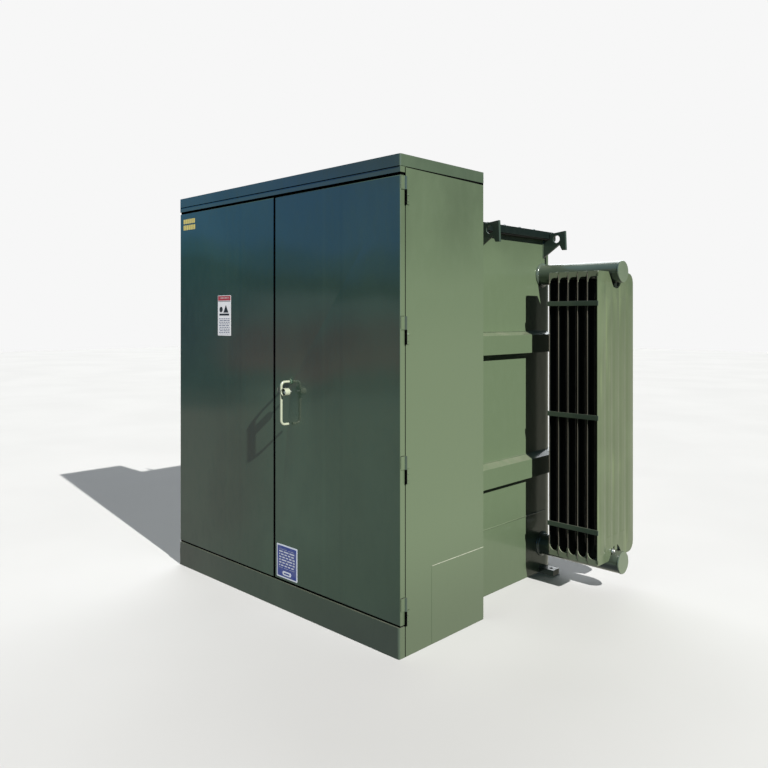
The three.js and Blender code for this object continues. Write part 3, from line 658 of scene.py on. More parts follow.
# ---- hand tools ----
class Piece:
    """A mesh in the making, with the hand tools that shape it."""

    def __init__(self, obj: bpy.types.Object) -> None:
        """Takes an object in hand."""
        self.obj = obj

    @staticmethod
    def put_down() -> None:
        """Deselects everything."""
        bpy.ops.object.select_all(action="DESELECT")

    def take(self) -> None:
        """Makes this piece the only selected and the active object."""
        Piece.put_down()
        self.obj.select_set(True)
        bpy.context.view_layer.objects.active = self.obj

    @classmethod
    def added(cls, name: str) -> "Piece":
        """Names the primitive that was just added and applies its place.

        Args:
            name: The piece's name.

        Returns:
            The piece.
        """
        obj = bpy.context.object
        obj.name = obj.data.name = name
        bpy.ops.object.transform_apply(location=True, rotation=True, scale=True)
        return cls(obj)

    @classmethod
    def cube(cls, name: str, low: Vector, high: Vector) -> "Piece":
        """Adds a block between two corners.

        Args:
            name: The piece's name.
            low: Lowest corner.
            high: Highest corner.

        Returns:
            The piece.
        """
        Piece.put_down()
        bpy.ops.mesh.primitive_cube_add(size=1, location=(low + high) / 2, scale=high - low)
        return cls.added(name)

    @classmethod
    def circle(cls, name: str, centre: Vector, radius: float, axis: Vector, sides: int,
               fill: str = "NGON") -> "Piece":
        """Adds a circle across an axis.

        Args:
            name: The piece's name.
            centre: Its middle.
            radius: Its radius in millimetres.
            axis: The axis that it lies across.
            sides: Its sides.
            fill: NGON for a disc, NOTHING for a bare ring.

        Returns:
            The piece.
        """
        Piece.put_down()
        turn = Vector(Along.Z.value).rotation_difference(axis).to_euler()
        bpy.ops.mesh.primitive_circle_add(vertices=sides, radius=radius * MM, fill_type=fill, location=centre,
                                          rotation=turn)
        return cls.added(name)

    @staticmethod
    def draw_out(way: Sequence[float]) -> None:
        """Extrudes what is selected, by a way in metres."""
        bpy.ops.mesh.extrude_region_move(TRANSFORM_OT_translate={"value": way})

    @classmethod
    def turned(cls, name: str, origin: Vector, along: Along, profile: Sequence[tuple[float, float]],
               sides: int = 32) -> "Piece":
        """Turns a round piece: a circle that is extruded and scaled from one profile point to the next.

        Args:
            name: The piece's name.
            origin: Where the profile's distances start.
            along: The axis.
            profile: Radius and distance along the axis of each ring, in millimetres; both ends get closed.
            sides: Sides of the circle.

        Returns:
            The piece.
        """
        axis = Vector(along.value)
        radius, reach = profile[0]
        piece = cls.circle(name, origin + axis * reach * MM, radius, axis, sides)
        with piece.edit(Kind.FACE, everything=True):
            for next_radius, next_reach in profile[1:]:
                Piece.draw_out(axis * (next_reach - reach) * MM)
                share = next_radius / radius
                centre = origin + axis * next_reach * MM
                bpy.ops.transform.resize(value=(share, share, share), center_override=centre)
                radius, reach = next_radius, next_reach
        piece.mend()
        return piece

    @classmethod
    def of_node(cls, node: str, name: str | None = None) -> "Piece":
        """A merged copy of a CAD node's mesh, with its flat faces whole again.

        Args:
            node: The CAD node.
            name: The copy's name; the node's name with _finished if it is left out.

        Returns:
            The piece.
        """
        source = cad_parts[node]
        obj = bpy.data.objects.new(name or f"{node}_finished", source.data.copy())
        bpy.context.scene.collection.objects.link(obj)
        piece = cls(obj)
        with piece.edit(Kind.FACE, everything=True):
            bpy.ops.mesh.remove_doubles(threshold=MERGED)
            bpy.ops.mesh.dissolve_limited(angle_limit=math.radians(0.5))
        return piece

    @contextmanager
    def edit(self, kind: Kind, everything: bool = False) -> Iterator[None]:
        """Edit mode for the time of a with block.

        Args:
            kind: What gets selected in it.
            everything: Whether everything is selected at the start.

        Yields:
            Nothing.
        """
        self.take()
        bpy.ops.object.mode_set(mode="EDIT")
        bpy.ops.mesh.select_mode(type=kind.value)
        if everything:
            bpy.ops.mesh.select_all(action="SELECT")
        yield
        bpy.ops.object.mode_set(mode="OBJECT")

    def pick(self, kind: Kind, test: Callable[[object], bool]) -> int:
        """Selects what passes a test, in edit mode.

        Args:
            kind: Vertices, edges or faces.
            test: Says whether an element is wanted.

        Returns:
            How many were selected.
        """
        bpy.ops.mesh.select_mode(type=kind.value)
        bpy.ops.mesh.select_all(action="DESELECT")
        mesh = bmesh.from_edit_mesh(self.obj.data)
        mesh.normal_update()
        elements = {Kind.VERT: mesh.verts, Kind.EDGE: mesh.edges, Kind.FACE: mesh.faces}[kind]
        wanted = [element for element in elements if test(element)]
        for element in wanted:
            element.select_set(True)
        bmesh.update_edit_mesh(self.obj.data)
        return len(wanted)

    def mend(self) -> "Piece":
        """Merges doubles and turns every face outward.

        Returns:
            The piece itself.
        """
        with self.edit(Kind.FACE, everything=True):
            bpy.ops.mesh.remove_doubles(threshold=MERGED)
            bpy.ops.mesh.normals_make_consistent(inside=False)
        return self

    def soften(self, width: float, segments: int = 2, shortest: float = 12.0, angle: float = 38.0,
               test: Callable[[object], bool] = lambda edge: True) -> "Piece":
        """Rounds the sharp edges that are long enough.

        Args:
            width: Bevel width in millimetres.
            segments: Bevel segments.
            shortest: Shorter edges stay as they are.
            angle: Flatter edges stay as they are.
            test: A further test on each edge.

        Returns:
            The piece itself.
        """
        with self.edit(Kind.EDGE):
            found = self.pick(Kind.EDGE, lambda e: len(e.link_faces) == 2 and e.calc_length() > shortest * MM
                              and e.calc_face_angle() > math.radians(angle) and test(e))
            if found:
                bpy.ops.mesh.bevel(offset=width * MM, segments=segments, clamp_overlap=True)
        return self

    def cut_at(self, points: Sequence[Vector], normal: Sequence[float]) -> "Piece":
        """Bisects the whole piece at each point, without removing anything.

        Args:
            points: Where the planes go through.
            normal: The planes' direction.

        Returns:
            The piece itself.
        """
        with self.edit(Kind.FACE):
            for point in points:
                bpy.ops.mesh.select_all(action="SELECT")
                bpy.ops.mesh.bisect(plane_co=point, plane_no=normal)
        return self

    def modifier(self, kind: str, **settings: object) -> "Piece":
        """Adds a modifier, sets it and applies it.

        Args:
            kind: The modifier's type.
            settings: Its settings by name.

        Returns:
            The piece itself.
        """
        self.take()
        bpy.ops.object.modifier_add(type=kind)
        added = self.obj.modifiers[-1]
        for name, value in settings.items():
            setattr(added, name, value)
        bpy.ops.object.modifier_apply(modifier=added.name)
        return self

    def smooth(self, angle: float = 40.0) -> "Piece":
        """Smooth shading with flat faces kept flat.

        Args:
            angle: Edges that are sharper than this, in degrees, stay sharp.

        Returns:
            The piece itself.
        """
        self.take()
        bpy.ops.object.shade_smooth_by_angle(angle=math.radians(angle))
        return self.modifier("WEIGHTED_NORMAL", keep_sharp=True, weight=60)

    def copy(self, name: str, shift: Vector = Vector(), side: Side = Side.RIGHT) -> "Piece":
        """A copy with its own mesh, shifted and perhaps mirrored to the left half.

        Args:
            name: The copy's name.
            shift: How far it goes.
            side: LEFT mirrors it across the middle.

        Returns:
            The copy.
        """
        self.take()
        bpy.ops.object.duplicate(linked=False)
        made = Piece(bpy.context.object)
        made.obj.name = made.obj.data.name = name
        with made.edit(Kind.VERT, everything=True):
            bpy.ops.transform.translate(value=shift)
            if side is Side.LEFT:
                bpy.ops.transform.resize(value=(-1, 1, 1), center_override=(0, 0, 0))
                bpy.ops.mesh.normals_make_consistent(inside=False)
        return made

    def shade(self, finish: "Finishes", test: Callable[[float, float, float], bool]) -> "Piece":
        """Gives some faces of a dressed piece a second finish.

        Args:
            finish: The second finish.
            test: Takes a face's distance from the middle, depth and height, and says whether it gets it.

        Returns:
            The piece itself.
        """
        self.obj.data.materials.append(finish.drawn())
        place = len(self.obj.data.materials) - 1
        for face in self.obj.data.polygons:
            middle = face.center
            if test(abs(middle.x) / MM, middle.y / MM + DOOR_PLANE, middle.z / MM):
                face.material_index = place
        return self

    def take_in(self, *others: "Piece") -> "Piece":
        """Joins other pieces into this one.

        Args:
            others: The pieces that get joined in.

        Returns:
            The piece itself.
        """
        self.take()
        for other in others:
            other.obj.select_set(True)
        bpy.ops.object.join()
        return self

    def done(self, finish: Finishes, slot: str, body: str = ROOT, stands_for: Sequence[str] = ()) -> "Piece":
        """Paints the piece, hangs it on its body and reports it.

        Args:
            finish: Its finish.
            slot: Not used.
            body: The CAD body that it moves with.
            stands_for: CAD nodes that it replaces.

        Returns:
            The piece itself.
        """
        self.obj.data.materials.clear()
        self.obj.data.materials.append(finish.drawn())
        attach(self.obj, body)
        if stands_for:
            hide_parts(*stands_for)
        log.info("%s: %d faces", self.obj.name, len(self.obj.data.polygons))
        return self

    def done_twice(self, finish: Finishes, slot: str) -> None:
        """Dresses a piece of the right side and its mirrored copy.

        Args:
            finish: Their finish.
            slot: The record's material slot.
        """
        self.copy(self.obj.name.replace("right", "left"), side=Side.LEFT).done(finish, slot)
        self.done(finish, slot)


def finished_node(node: str, finish: Finishes, slot: str, body: str = ROOT, width: float = 1.5,
                  shortest: float = 12.0, angle: float = 40.0) -> Piece:
    """A CAD node's shape with softened edges, standing for the node.

    Args:
        node: The CAD node.
        finish: Its finish.
        slot: The record's material slot.
        body: The CAD body that it moves with.
        width: Edge rounding in millimetres.
        shortest: Edges shorter than this stay sharp.
        angle: Smoothing angle.

    Returns:
        The piece.
    """
    piece = Piece.of_node(node).soften(width, shortest=shortest).smooth(angle)
    return piece.done(finish, slot, body, [node])


def bead(name: str, start: Vector, end: Vector, radius: float, seed: int, rings: int = 14) -> Piece:
    """A run of weld between two points, lumpy along its length.

    Args:
        name: The piece's name.
        start: One end.
        end: The other end.
        radius: Thickness of the bead in millimetres.
        seed: Seed of its lumps.
        rings: Lumps along it.

    Returns:
        The piece.
    """
    chance = random.Random(seed)
    run = end - start
    piece = Piece.circle(name, start, radius, run.normalized(), 8)
    with piece.edit(Kind.FACE, everything=True):
        width = 1.0
        for ring in range(1, rings + 1):
            Piece.draw_out(run / rings)
            wanted = chance.uniform(0.8, 1.2)
            share = wanted / width
            bpy.ops.transform.resize(value=(share, share, share), center_override=start + run * ring / rings)
            width = wanted
    piece.mend().smooth(80)
    return piece


# ---- cabinet ----
@dataclass
class Cabinet:
    """The fixed cabinet: shell, sill, hood and the wall between the two compartments."""

    half: float = CABINET_HALF
    depth: float = 575.0
    side_front: float = 31.0
    joint_proud: float = 0.9
    hood_bottom: float = 2050.0
    sill_top: float = 130.0
    gap_front: float = 3.0
    gap_rear: float = 9.0
    patch_front: float = 200.0
    patch_top: float = 340.0
    screw_drops: tuple[float, float] = (18.0, 44.0)

    def build(self) -> None:
        """Makes and dresses every piece of the cabinet."""
        shell = finished_node("cabinet_shell", Finishes.CABINET, "cabinet_paint", width=1.2, shortest=20)
        # Painted shade: the hinge knuckles on the shell take the near-black gap finish.
        shell.shade(Finishes.JOINT, lambda off, depth, z: off > self.half + 0.6 and depth < 40)
        # Painted shade: the sill front is darker, and its side faces take the cabinet's sunlit green.
        sill = finished_node("front_sill", Finishes.SILL, "cabinet_paint", width=2.5, shortest=30)
        sill.shade(Finishes.CABINET, lambda off, depth, z: off > self.half - 1.5 and depth > 0.5)
        finished_node("cabinet_hood", Finishes.HOOD, "cabinet_paint", width=4.0, shortest=3)
        finished_node("compartment_barrier", Finishes.INTERIOR, "cabinet_paint", width=0.8)
        self.joints()
        self.hinge_slots()
        self.hinge_screws()
        self.side_patch()

    def joints(self) -> None:
        """Painted shade: near-black strips in the gaps under the hood, under the doors and between the door
        flanges and the sides.
        """
        low = at(self.half - 2, 36, self.hood_bottom - self.gap_front)
        high = at(self.half + self.joint_proud, self.depth - 2, self.hood_bottom - 0.2)
        middle = (low + high) / 2
        gap = Piece.cube("hood_joint_right", low, high)
        with gap.edit(Kind.VERT):
            gap.pick(Kind.VERT, lambda v: v.co.y > middle.y and v.co.z < middle.z)
            bpy.ops.transform.translate(value=(0, 0, (self.gap_front - self.gap_rear) * MM))
        gap.soften(0.3, 1, 2).done_twice(Finishes.JOINT, "moulded_rubber")
        flange = Piece.cube("flange_joint_right", at(self.half - 3, self.side_front - 2, 2),
                            at(self.half + self.joint_proud, self.side_front + 2.2, self.hood_bottom - 3))
        flange.soften(0.3, 1, 3).done_twice(Finishes.JOINT, "moulded_rubber")
        for name, bottom, top, front, back in (("hood_joint_front", 2046.6, 2049.8, -0.8, 3),
                                               ("sill_joint", self.sill_top + 0.2, 136.6, 1.5, 28),
                                               ("header_joint", 2012.6, 2023.8, 4, 40)):
            strip = Piece.cube(name, at(4 - self.half, front, bottom), at(self.half - 4, back, top))
            strip.soften(0.4, 2, 3).done(Finishes.JOINT, "moulded_rubber")

    def hinge_slots(self) -> None:
        """Painted shade: a near-black block in the clearance behind each fixed hinge leaf."""
        for number, height in enumerate(HINGE_HEIGHTS):
            slot = Piece.cube(f"hinge_slot_right_{number}",
                              at(self.half - 2, self.side_front - 4, height - 62),
                              at(self.half + 0.8, self.side_front + 3, height + 1))
            slot.soften(0.6, 2, 3).done_twice(Finishes.JOINT, "moulded_rubber")

    def hinge_screws(self) -> None:
        """Two screw heads on the fixed leaf of every hinge."""
        dome = [(4.4, 0), (4.4, 1.2), (3.2, 2.4), (1.2, 2.6)]
        heads = []
        for number, height in enumerate(HINGE_HEIGHTS):
            for row, drop in enumerate(self.screw_drops):
                origin = at(self.half + 2.6, self.side_front + 16, height - drop)
                heads.append(Piece.turned(f"hinge_screws_right_{number}_{row}", origin, Along.X, dome, 12))
        screws = heads[0].take_in(*heads[1:]).smooth(50)
        screws.obj.name = "hinge_screws_right"
        screws.done_twice(Finishes.CABINET, "cabinet_paint")

    def side_patch(self) -> None:
        """The doubler low at the rear of each side sheet, with a pale bead along its upper edge as a painted
        highlight.
        """
        patch = Piece.cube("side_patch_right", at(self.half - 1, self.patch_front, 2),
                           at(self.half + 1.3, self.depth - 1, self.patch_top))
        patch.soften(0.9, 2, 4, test=lambda e: all(v.co.x > self.half * MM for v in e.verts))
        patch.smooth().done_twice(Finishes.CABINET, "cabinet_paint")
        # Painted highlight: the pale bead along the doubler's upper edge.
        edge = bead("side_patch_edge_right", at(self.half + 0.2, self.patch_front + 3, self.patch_top),
                    at(self.half + 0.2, self.depth - 2, self.patch_top), 1.5, 11, 24)
        edge.done_twice(Finishes.WORN, "cabinet_paint")


# ---- doors ----
@dataclass
class Door:
    """One folded door leaf with its hinge tabs and, where given, its edge seal."""

    node: str
    finish: Finishes
    front: float = 0.0
    seal: tuple[float, float] | None = None
    half: float = CABINET_HALF
    bottom: float = 138.0
    top: float = 2011.0

    def build(self) -> None:
        """Makes and dresses the leaf."""
        plane = at(0, self.front, 0).y
        leaf = Piece.of_node(self.node)
        leaf.soften(4.0, 3, 60, test=lambda e: all(abs(v.co.y - plane) < NEAR for v in e.verts))
        leaf.smooth(40).done(self.finish, "cabinet_paint", self.node, [self.node])
        # Painted shade and highlight: the front keeps the darker door green, while the flange and the rounded
        # edge take the cabinet's sunlit green.
        leaf.shade(Finishes.CABINET, lambda off, depth, z: off > self.half - 3.2 and depth > 0.6)
        # Painted shade: the door's hinge knuckle takes the dark brace green.
        leaf.shade(Finishes.BRACE, lambda off, depth, z: off > self.half + 0.6 and depth > 20)
        for number, height in enumerate(HINGE_HEIGHTS):
            self.hinge_tab(number, height)
        if self.seal is not None:
            self.edge_seal(*self.seal)

    def hinge_tab(self, number: int, height: float) -> None:
        """The hinge's door leaf on the flange, with rounded lower corners, a near-black strip round it as
        painted shade and a pale strip along its top as a painted highlight.

        Args:
            number: Which hinge, from below.
            height: The hinge's middle.
        """
        mirrored = Side.LEFT if self.node == "hv_door" else Side.RIGHT
        # The joint strip round the tab is painted shade; the worn strip along its top is a painted highlight.
        for word, grow, proud, finish in (("joint", 2.4, 0.5, Finishes.JOINT),
                                          ("tab", 0.0, 2.2, Finishes.CABINET),
                                          ("worn", 0.0, 2.5, Finishes.WORN)):
            low = at(self.half - 1, 5 - grow, height + 4 - grow)
            high = at(self.half + proud, 23 + grow, min(height + 58 + grow, self.top - 1))
            if word == "worn":
                low.z = high.z - 2.6 * MM
            leaf = Piece.cube(f"hinge_{word}", low, high)
            if word != "worn":
                leaf.soften(8, 5, 0.5, test=lambda e: runs(e, "x") and e.verts[0].co.z < (low.z + high.z) / 2)
            leaf.soften(0.5, 2, 2).smooth()
            made = leaf.copy(f"{self.node}_hinge_{word}_{number}", side=mirrored)
            made.done(finish, "cabinet_paint", self.node)
            bpy.data.objects.remove(leaf.obj)

    def edge_seal(self, start: float, end: float) -> None:
        """A near-black strip that laps the joint between the leaves: painted shade for the dark seam.

        Args:
            start: X where it begins.
            end: X where it ends.
        """
        seal = Piece.cube(f"{self.node}_seal", at(start, -0.9, self.bottom), at(end, 27, self.top))
        seal.soften(0.6, 2, 100).smooth(60).done(Finishes.JOINT, "moulded_rubber", self.node)


@dataclass
class Films:
    """The printed films on the doors, with marks that say nothing."""

    thick: float = 0.5
    tags_left: float = -829.0

    def plate(self, name: str, x: float, z: float, wide: float, tall: float, finish: Finishes, body: str,
              corner: float = 3.0, proud: float = 0.0) -> Piece:
        """A film with rounded corners on the front of a door.

        Args:
            name: The film's name.
            x: Its middle.
            z: Its middle.
            wide: Width.
            tall: Height.
            finish: Its print.
            body: The door.
            corner: Corner radius.
            proud: How far it lies over the door's own film.

        Returns:
            The piece.
        """
        film = Piece.cube(name, at(x - wide / 2, -self.thick - proud, z - tall / 2),
                          at(x + wide / 2, 0.1 - proud, z + tall / 2))
        film.soften(corner, 5, self.thick / 3, test=lambda e: runs(e, "y"))
        film.soften(0.15, 1, 4)
        return film.smooth().done(finish, "cabinet_paint", body)

    def build(self) -> None:
        """Places every film."""
        left, right = "hv_door", "lv_door"
        self.plate("notice_film", -418, 1429.5, 122, 215, Finishes.WHITE_FILM, left)
        self.plate("notice_band", -418, 1522, 116, 25, Finishes.RED_FILM, left, 1.5, 0.3)
        self.plate("notice_rule", -418, 1505, 116, 2.5, Finishes.BLACK_FILM, left, 0.6, 0.3)
        self.symbol()
        self.plate("plate_film", 116, 230.5, 158, 161, Finishes.PALE_FILM, right, 5)
        self.plate("plate_ground", 116, 230.5, 144, 147, Finishes.BLUE_FILM, right, 3, 0.3)
        self.plate("plate_lozenge", 116, 174, 66, 20, Finishes.PALE_FILM, right, 9.5, 0.6)
        self.plate("plate_lozenge_ink", 116, 174, 44, 7, Finishes.BLUE_FILM, right, 3, 0.9)
        chance = random.Random(5)
        for row, (z, tall, count) in enumerate(((1966, 26, 6), (1931, 28, 7))):
            x = self.tags_left
            for number in range(count):
                wide = chance.uniform(12, 17) * (0.92 if row else 1.0)
                self.plate(f"tag_{row}_{number}", x + wide / 2, z, wide, tall, Finishes.YELLOW_FILM, left, 3)
                x += wide + 4.5

    def symbol(self) -> None:
        """The generic dark pictogram: a disc, a bar and a wedge."""
        disc = Piece.turned("notice_symbol", at(-447, -0.8, 1462), Along.OUT,
                            [(15, 0), (15, 0.3), (14.6, 0.5)], 24)
        wedge = Piece.turned("notice_wedge", at(-402, -0.8, 1459), Along.OUT,
                             [(27, 0), (27, 0.3), (26.6, 0.5)], 3)
        bar = Piece.cube("notice_bar", at(-462, -1.3, 1430), at(-372, -0.8, 1440))
        disc.take_in(wedge, bar).smooth().done(Finishes.BLACK_FILM, "cabinet_paint", "hv_door")


@dataclass
class HandleSet:
    """The swinging door handle with its bolt cup, padlock lug, shaft and cam, and the latch rods."""

    x: float = 142.0
    axis_z: float = 1110.0
    foot_z: float = 907.0
    radius: float = 6.5
    front: float = 62.0
    bend: float = 20.0
    cup_x: float = 166.0
    cup_z: float = 1064.0
    cup_radius: float = 19.0
    cup_length: float = 30.0
    cup_floor: float = 6.5
    shaft_end: float = 10.0
    foot_end: float = -11.0

    def build(self) -> None:
        """Makes and dresses the handle and the rods."""
        self.bow()
        self.cup()
        self.bolt()
        for name in ("latch_rod_upper", "latch_rod_lower"):
            finished_node(name, Finishes.STEEL, "plated_steel", name, 1.2, 2)

    def bow(self) -> None:
        """The round bar: out of the door, down across it and back towards it."""
        elbow = -self.front + self.radius + self.bend
        bar = Piece.circle("handle_bow", at(self.x, self.shaft_end, self.axis_z), self.radius,
                           Vector(Along.OUT.value), 24)
        with bar.edit(Kind.FACE, everything=True):
            Piece.draw_out((0, (elbow - self.shaft_end) * MM, 0))
            bpy.ops.mesh.spin(steps=10, angle=-math.pi / 2, axis=(1, 0, 0),
                              center=at(self.x, elbow, self.axis_z - self.bend))
            Piece.draw_out((0, 0, (self.foot_z + self.bend - (self.axis_z - self.bend)) * MM))
            bpy.ops.mesh.spin(steps=10, angle=-math.pi / 2, axis=(1, 0, 0),
                              center=at(self.x, elbow, self.foot_z + self.bend))
            Piece.draw_out((0, (self.foot_end - elbow) * MM, 0))
            bpy.ops.mesh.bevel(offset=2 * MM, segments=3)
        bar.mend()
        cam = Piece.cube("handle_cam", at(self.x - 40, self.shaft_end - 4, self.axis_z - 12),
                         at(self.x + 40, self.shaft_end, self.axis_z + 12))
        cam.soften(5, 3, 3, test=lambda e: runs(e, "y"))
        lug = Piece.cube("handle_lug", at(self.x - 27, -self.front + 4, self.cup_z - 4),
                         at(self.x - 3, -self.front + 8, self.cup_z + 20))
        lug.soften(8, 4, 3, test=lambda e: runs(e, "y") and e.verts[0].co.x < (self.x - 20) * MM)
        bar.take_in(cam, lug).smooth(45).done(Finishes.HANDLE, "handle_paint", "door_handle", ["door_handle"])

    def cup(self) -> None:
        """The deep cup round the bolt's head, welded to the bar."""
        origin = at(self.cup_x, -self.front + self.cup_length, self.cup_z)
        outer, inner, deep = self.cup_radius, self.cup_radius - 3.5, self.cup_length
        cup = Piece.turned("handle_cup", origin, Along.OUT, [
            (outer - 2, 0), (outer, 2), (outer, deep - 1.5), (outer - 1, deep), (inner + 0.8, deep),
            (inner, deep - 1.2), (inner, self.cup_floor)], 40)
        web = Piece.cube("handle_web", at(self.x, -self.front + 3, self.cup_z - 9),
                         at(self.x + 12, -self.front + 11, self.cup_z + 9))
        web.soften(2, 2, 2)
        cup.take_in(web).smooth(40).done(Finishes.HANDLE, "handle_paint", "door_handle")

    def bolt(self) -> None:
        """The five-sided bolt in the cup."""
        origin = at(self.cup_x, -self.front + self.cup_length - self.cup_floor, self.cup_z)
        head = Piece.turned("penta_bolt_head", origin, Along.OUT, [(12, 0.2), (12, 2), (11.9, 2.2)], 32)
        five = Piece.turned("penta_bolt_five", origin, Along.OUT, [(9.4, 2), (9.4, 14), (8, 15.5)], 5)
        shank = Piece.turned("penta_bolt_shank", origin, Along.REAR, [(5.9, 0), (5.9, 22), (4.4, 24)], 24)
        head.take_in(five, shank).smooth(35)
        head.done(Finishes.STEEL, "plated_steel", "penta_bolt", ["penta_bolt"])


# ---- tank ----
@dataclass
class Tank:
    """The tank with its cover, stiffeners, lugs and welds."""

    half: float = TANK_HALF
    front: float = 575.5
    rear: float = 1497.0
    corner: float = 120.0
    seam_z: float = 337.0
    cover_top: float = 1896.0
    rim: float = 34.0
    stiffeners: tuple[tuple[float, float], ...] = ((556.0, 675.0), (1229.0, 1342.0))
    lug_foot: float = 1752.0
    lug_head: float = 1846.0
    lid_depth: float = 1000.0
    lid_bolts: int = 12
    bolt_circle: float = 132.0
    lug_depths: dict[str, float] = field(default_factory=lambda: {"front": 741.0, "rear": 1363.0})

    def build(self) -> None:
        """Makes and dresses the tank."""
        body = finished_node("tank_body", Finishes.TANK, "tank_paint", width=1.2, shortest=25)
        body.shade(Finishes.COVER, lambda off, depth, z: off > self.half + 1 and z < 40)
        finished_node("tank_cover", Finishes.COVER, "tank_paint", width=4, shortest=6)
        for name in ("stiffener_lower", "stiffener_upper"):
            finished_node(name, Finishes.TANK, "tank_paint", width=3.5, shortest=30, angle=50)
        for end in self.lug_depths:
            for side in ("right", "left"):
                # Painted shade: the lugs take a dark green for the shade on their fronts.
                finished_node(f"lifting_lug_{end}_{side}", Finishes.LUG, "tank_paint", width=1.6, shortest=8)
        self.gasket()
        self.welds()
        self.handhole()

    def gasket(self) -> None:
        """The cork gasket between the tank's rim and the cover."""
        out = self.rim + 2
        strip = Piece.cube("cover_gasket", at(-self.half - out, self.front + 4, 1852),
                           at(self.half + out, self.rear + out, 1855.6))
        strip.soften(self.corner + out, 8, 2, test=lambda e: runs(e, "z") and e.verts[0].co.y > 0.3)
        with strip.edit(Kind.FACE):
            for sign in (-1, 1):
                strip.pick(Kind.FACE, lambda f: sign * f.normal.z > FACING)
                bpy.ops.mesh.inset(thickness=self.rim * MM)
                bpy.ops.mesh.delete(type="FACE")
            strip.pick(Kind.EDGE, lambda e: e.is_boundary)
            bpy.ops.mesh.bridge_edge_loops()
        strip.mend().smooth().done(Finishes.GASKET, "moulded_rubber")

    def welds(self) -> None:
        """Beads along the tank's seam, the stiffeners and the lugs."""
        rear = self.rear - self.corner
        beads = [(0.4, (self.front + 8, self.seam_z), (rear, self.seam_z), 2.6)]
        for low, high in self.stiffeners:
            for z in (low - 1, high + 1):
                beads.append((1.0, (self.front + 6, z), (rear, z), 3.0))
        for depth in self.lug_depths.values():
            for there in (depth - 8.5, depth + 8.5):
                beads.append((1.0, (there, self.lug_foot), (there, self.lug_head), 3.0))
        for number, (proud, start, end, size) in enumerate(beads):
            x = self.half + proud
            run = bead(f"weld_right_{number}", at(x, *start), at(x, *end), size, number, 26)
            run.done_twice(Finishes.WELD, "tank_paint")
        across = bead("weld_rear_seam", at(-self.half + self.corner, self.rear + 0.4, self.seam_z),
                      at(self.half - self.corner, self.rear + 0.4, self.seam_z), 2.6, 40, 40)
        across.done(Finishes.WELD, "tank_paint")

    def handhole(self) -> None:
        """The bolted handhole and the cover's own bolts."""
        first = at(self.bolt_circle, self.lid_depth, 0)
        lid = Piece.turned("handhole_lid", at(0, self.lid_depth, self.cover_top - 1), Along.Z,
                           [(150, 0), (150, 9), (148, 11), (120, 11), (116, 13), (40, 14)], 64)
        lid.smooth(35).done(Finishes.COVER, "tank_paint")
        bolt = Piece.turned("cover_bolt", at(self.bolt_circle, self.lid_depth, self.cover_top + 9), Along.Z,
                            [(11, 0), (11, 2), (9, 2.2), (9, 8.5), (7.6, 9.5)], 6).smooth(30)
        for number in range(1, self.lid_bolts):
            angle = number * math.tau / self.lid_bolts
            there = at(self.bolt_circle * math.cos(angle),
                       self.lid_depth + self.bolt_circle * math.sin(angle), 0)
            bolt.copy(f"cover_bolt_{number}", there - first).done(Finishes.STEEL, "plated_steel")
        places = [(x, d) for x in range(-560, 561, 160) for d in (self.front + 60, self.rear + 14)]
        places += [(s * (self.half + 14), d) for s in (-1, 1) for d in (820, 960, 1100, 1240)]
        for number, (x, depth) in enumerate(places):
            bolt.copy(f"rim_bolt_{number}", at(x, depth, -11) - first).done(Finishes.STEEL, "plated_steel")
        bolt.done(Finishes.STEEL, "plated_steel")


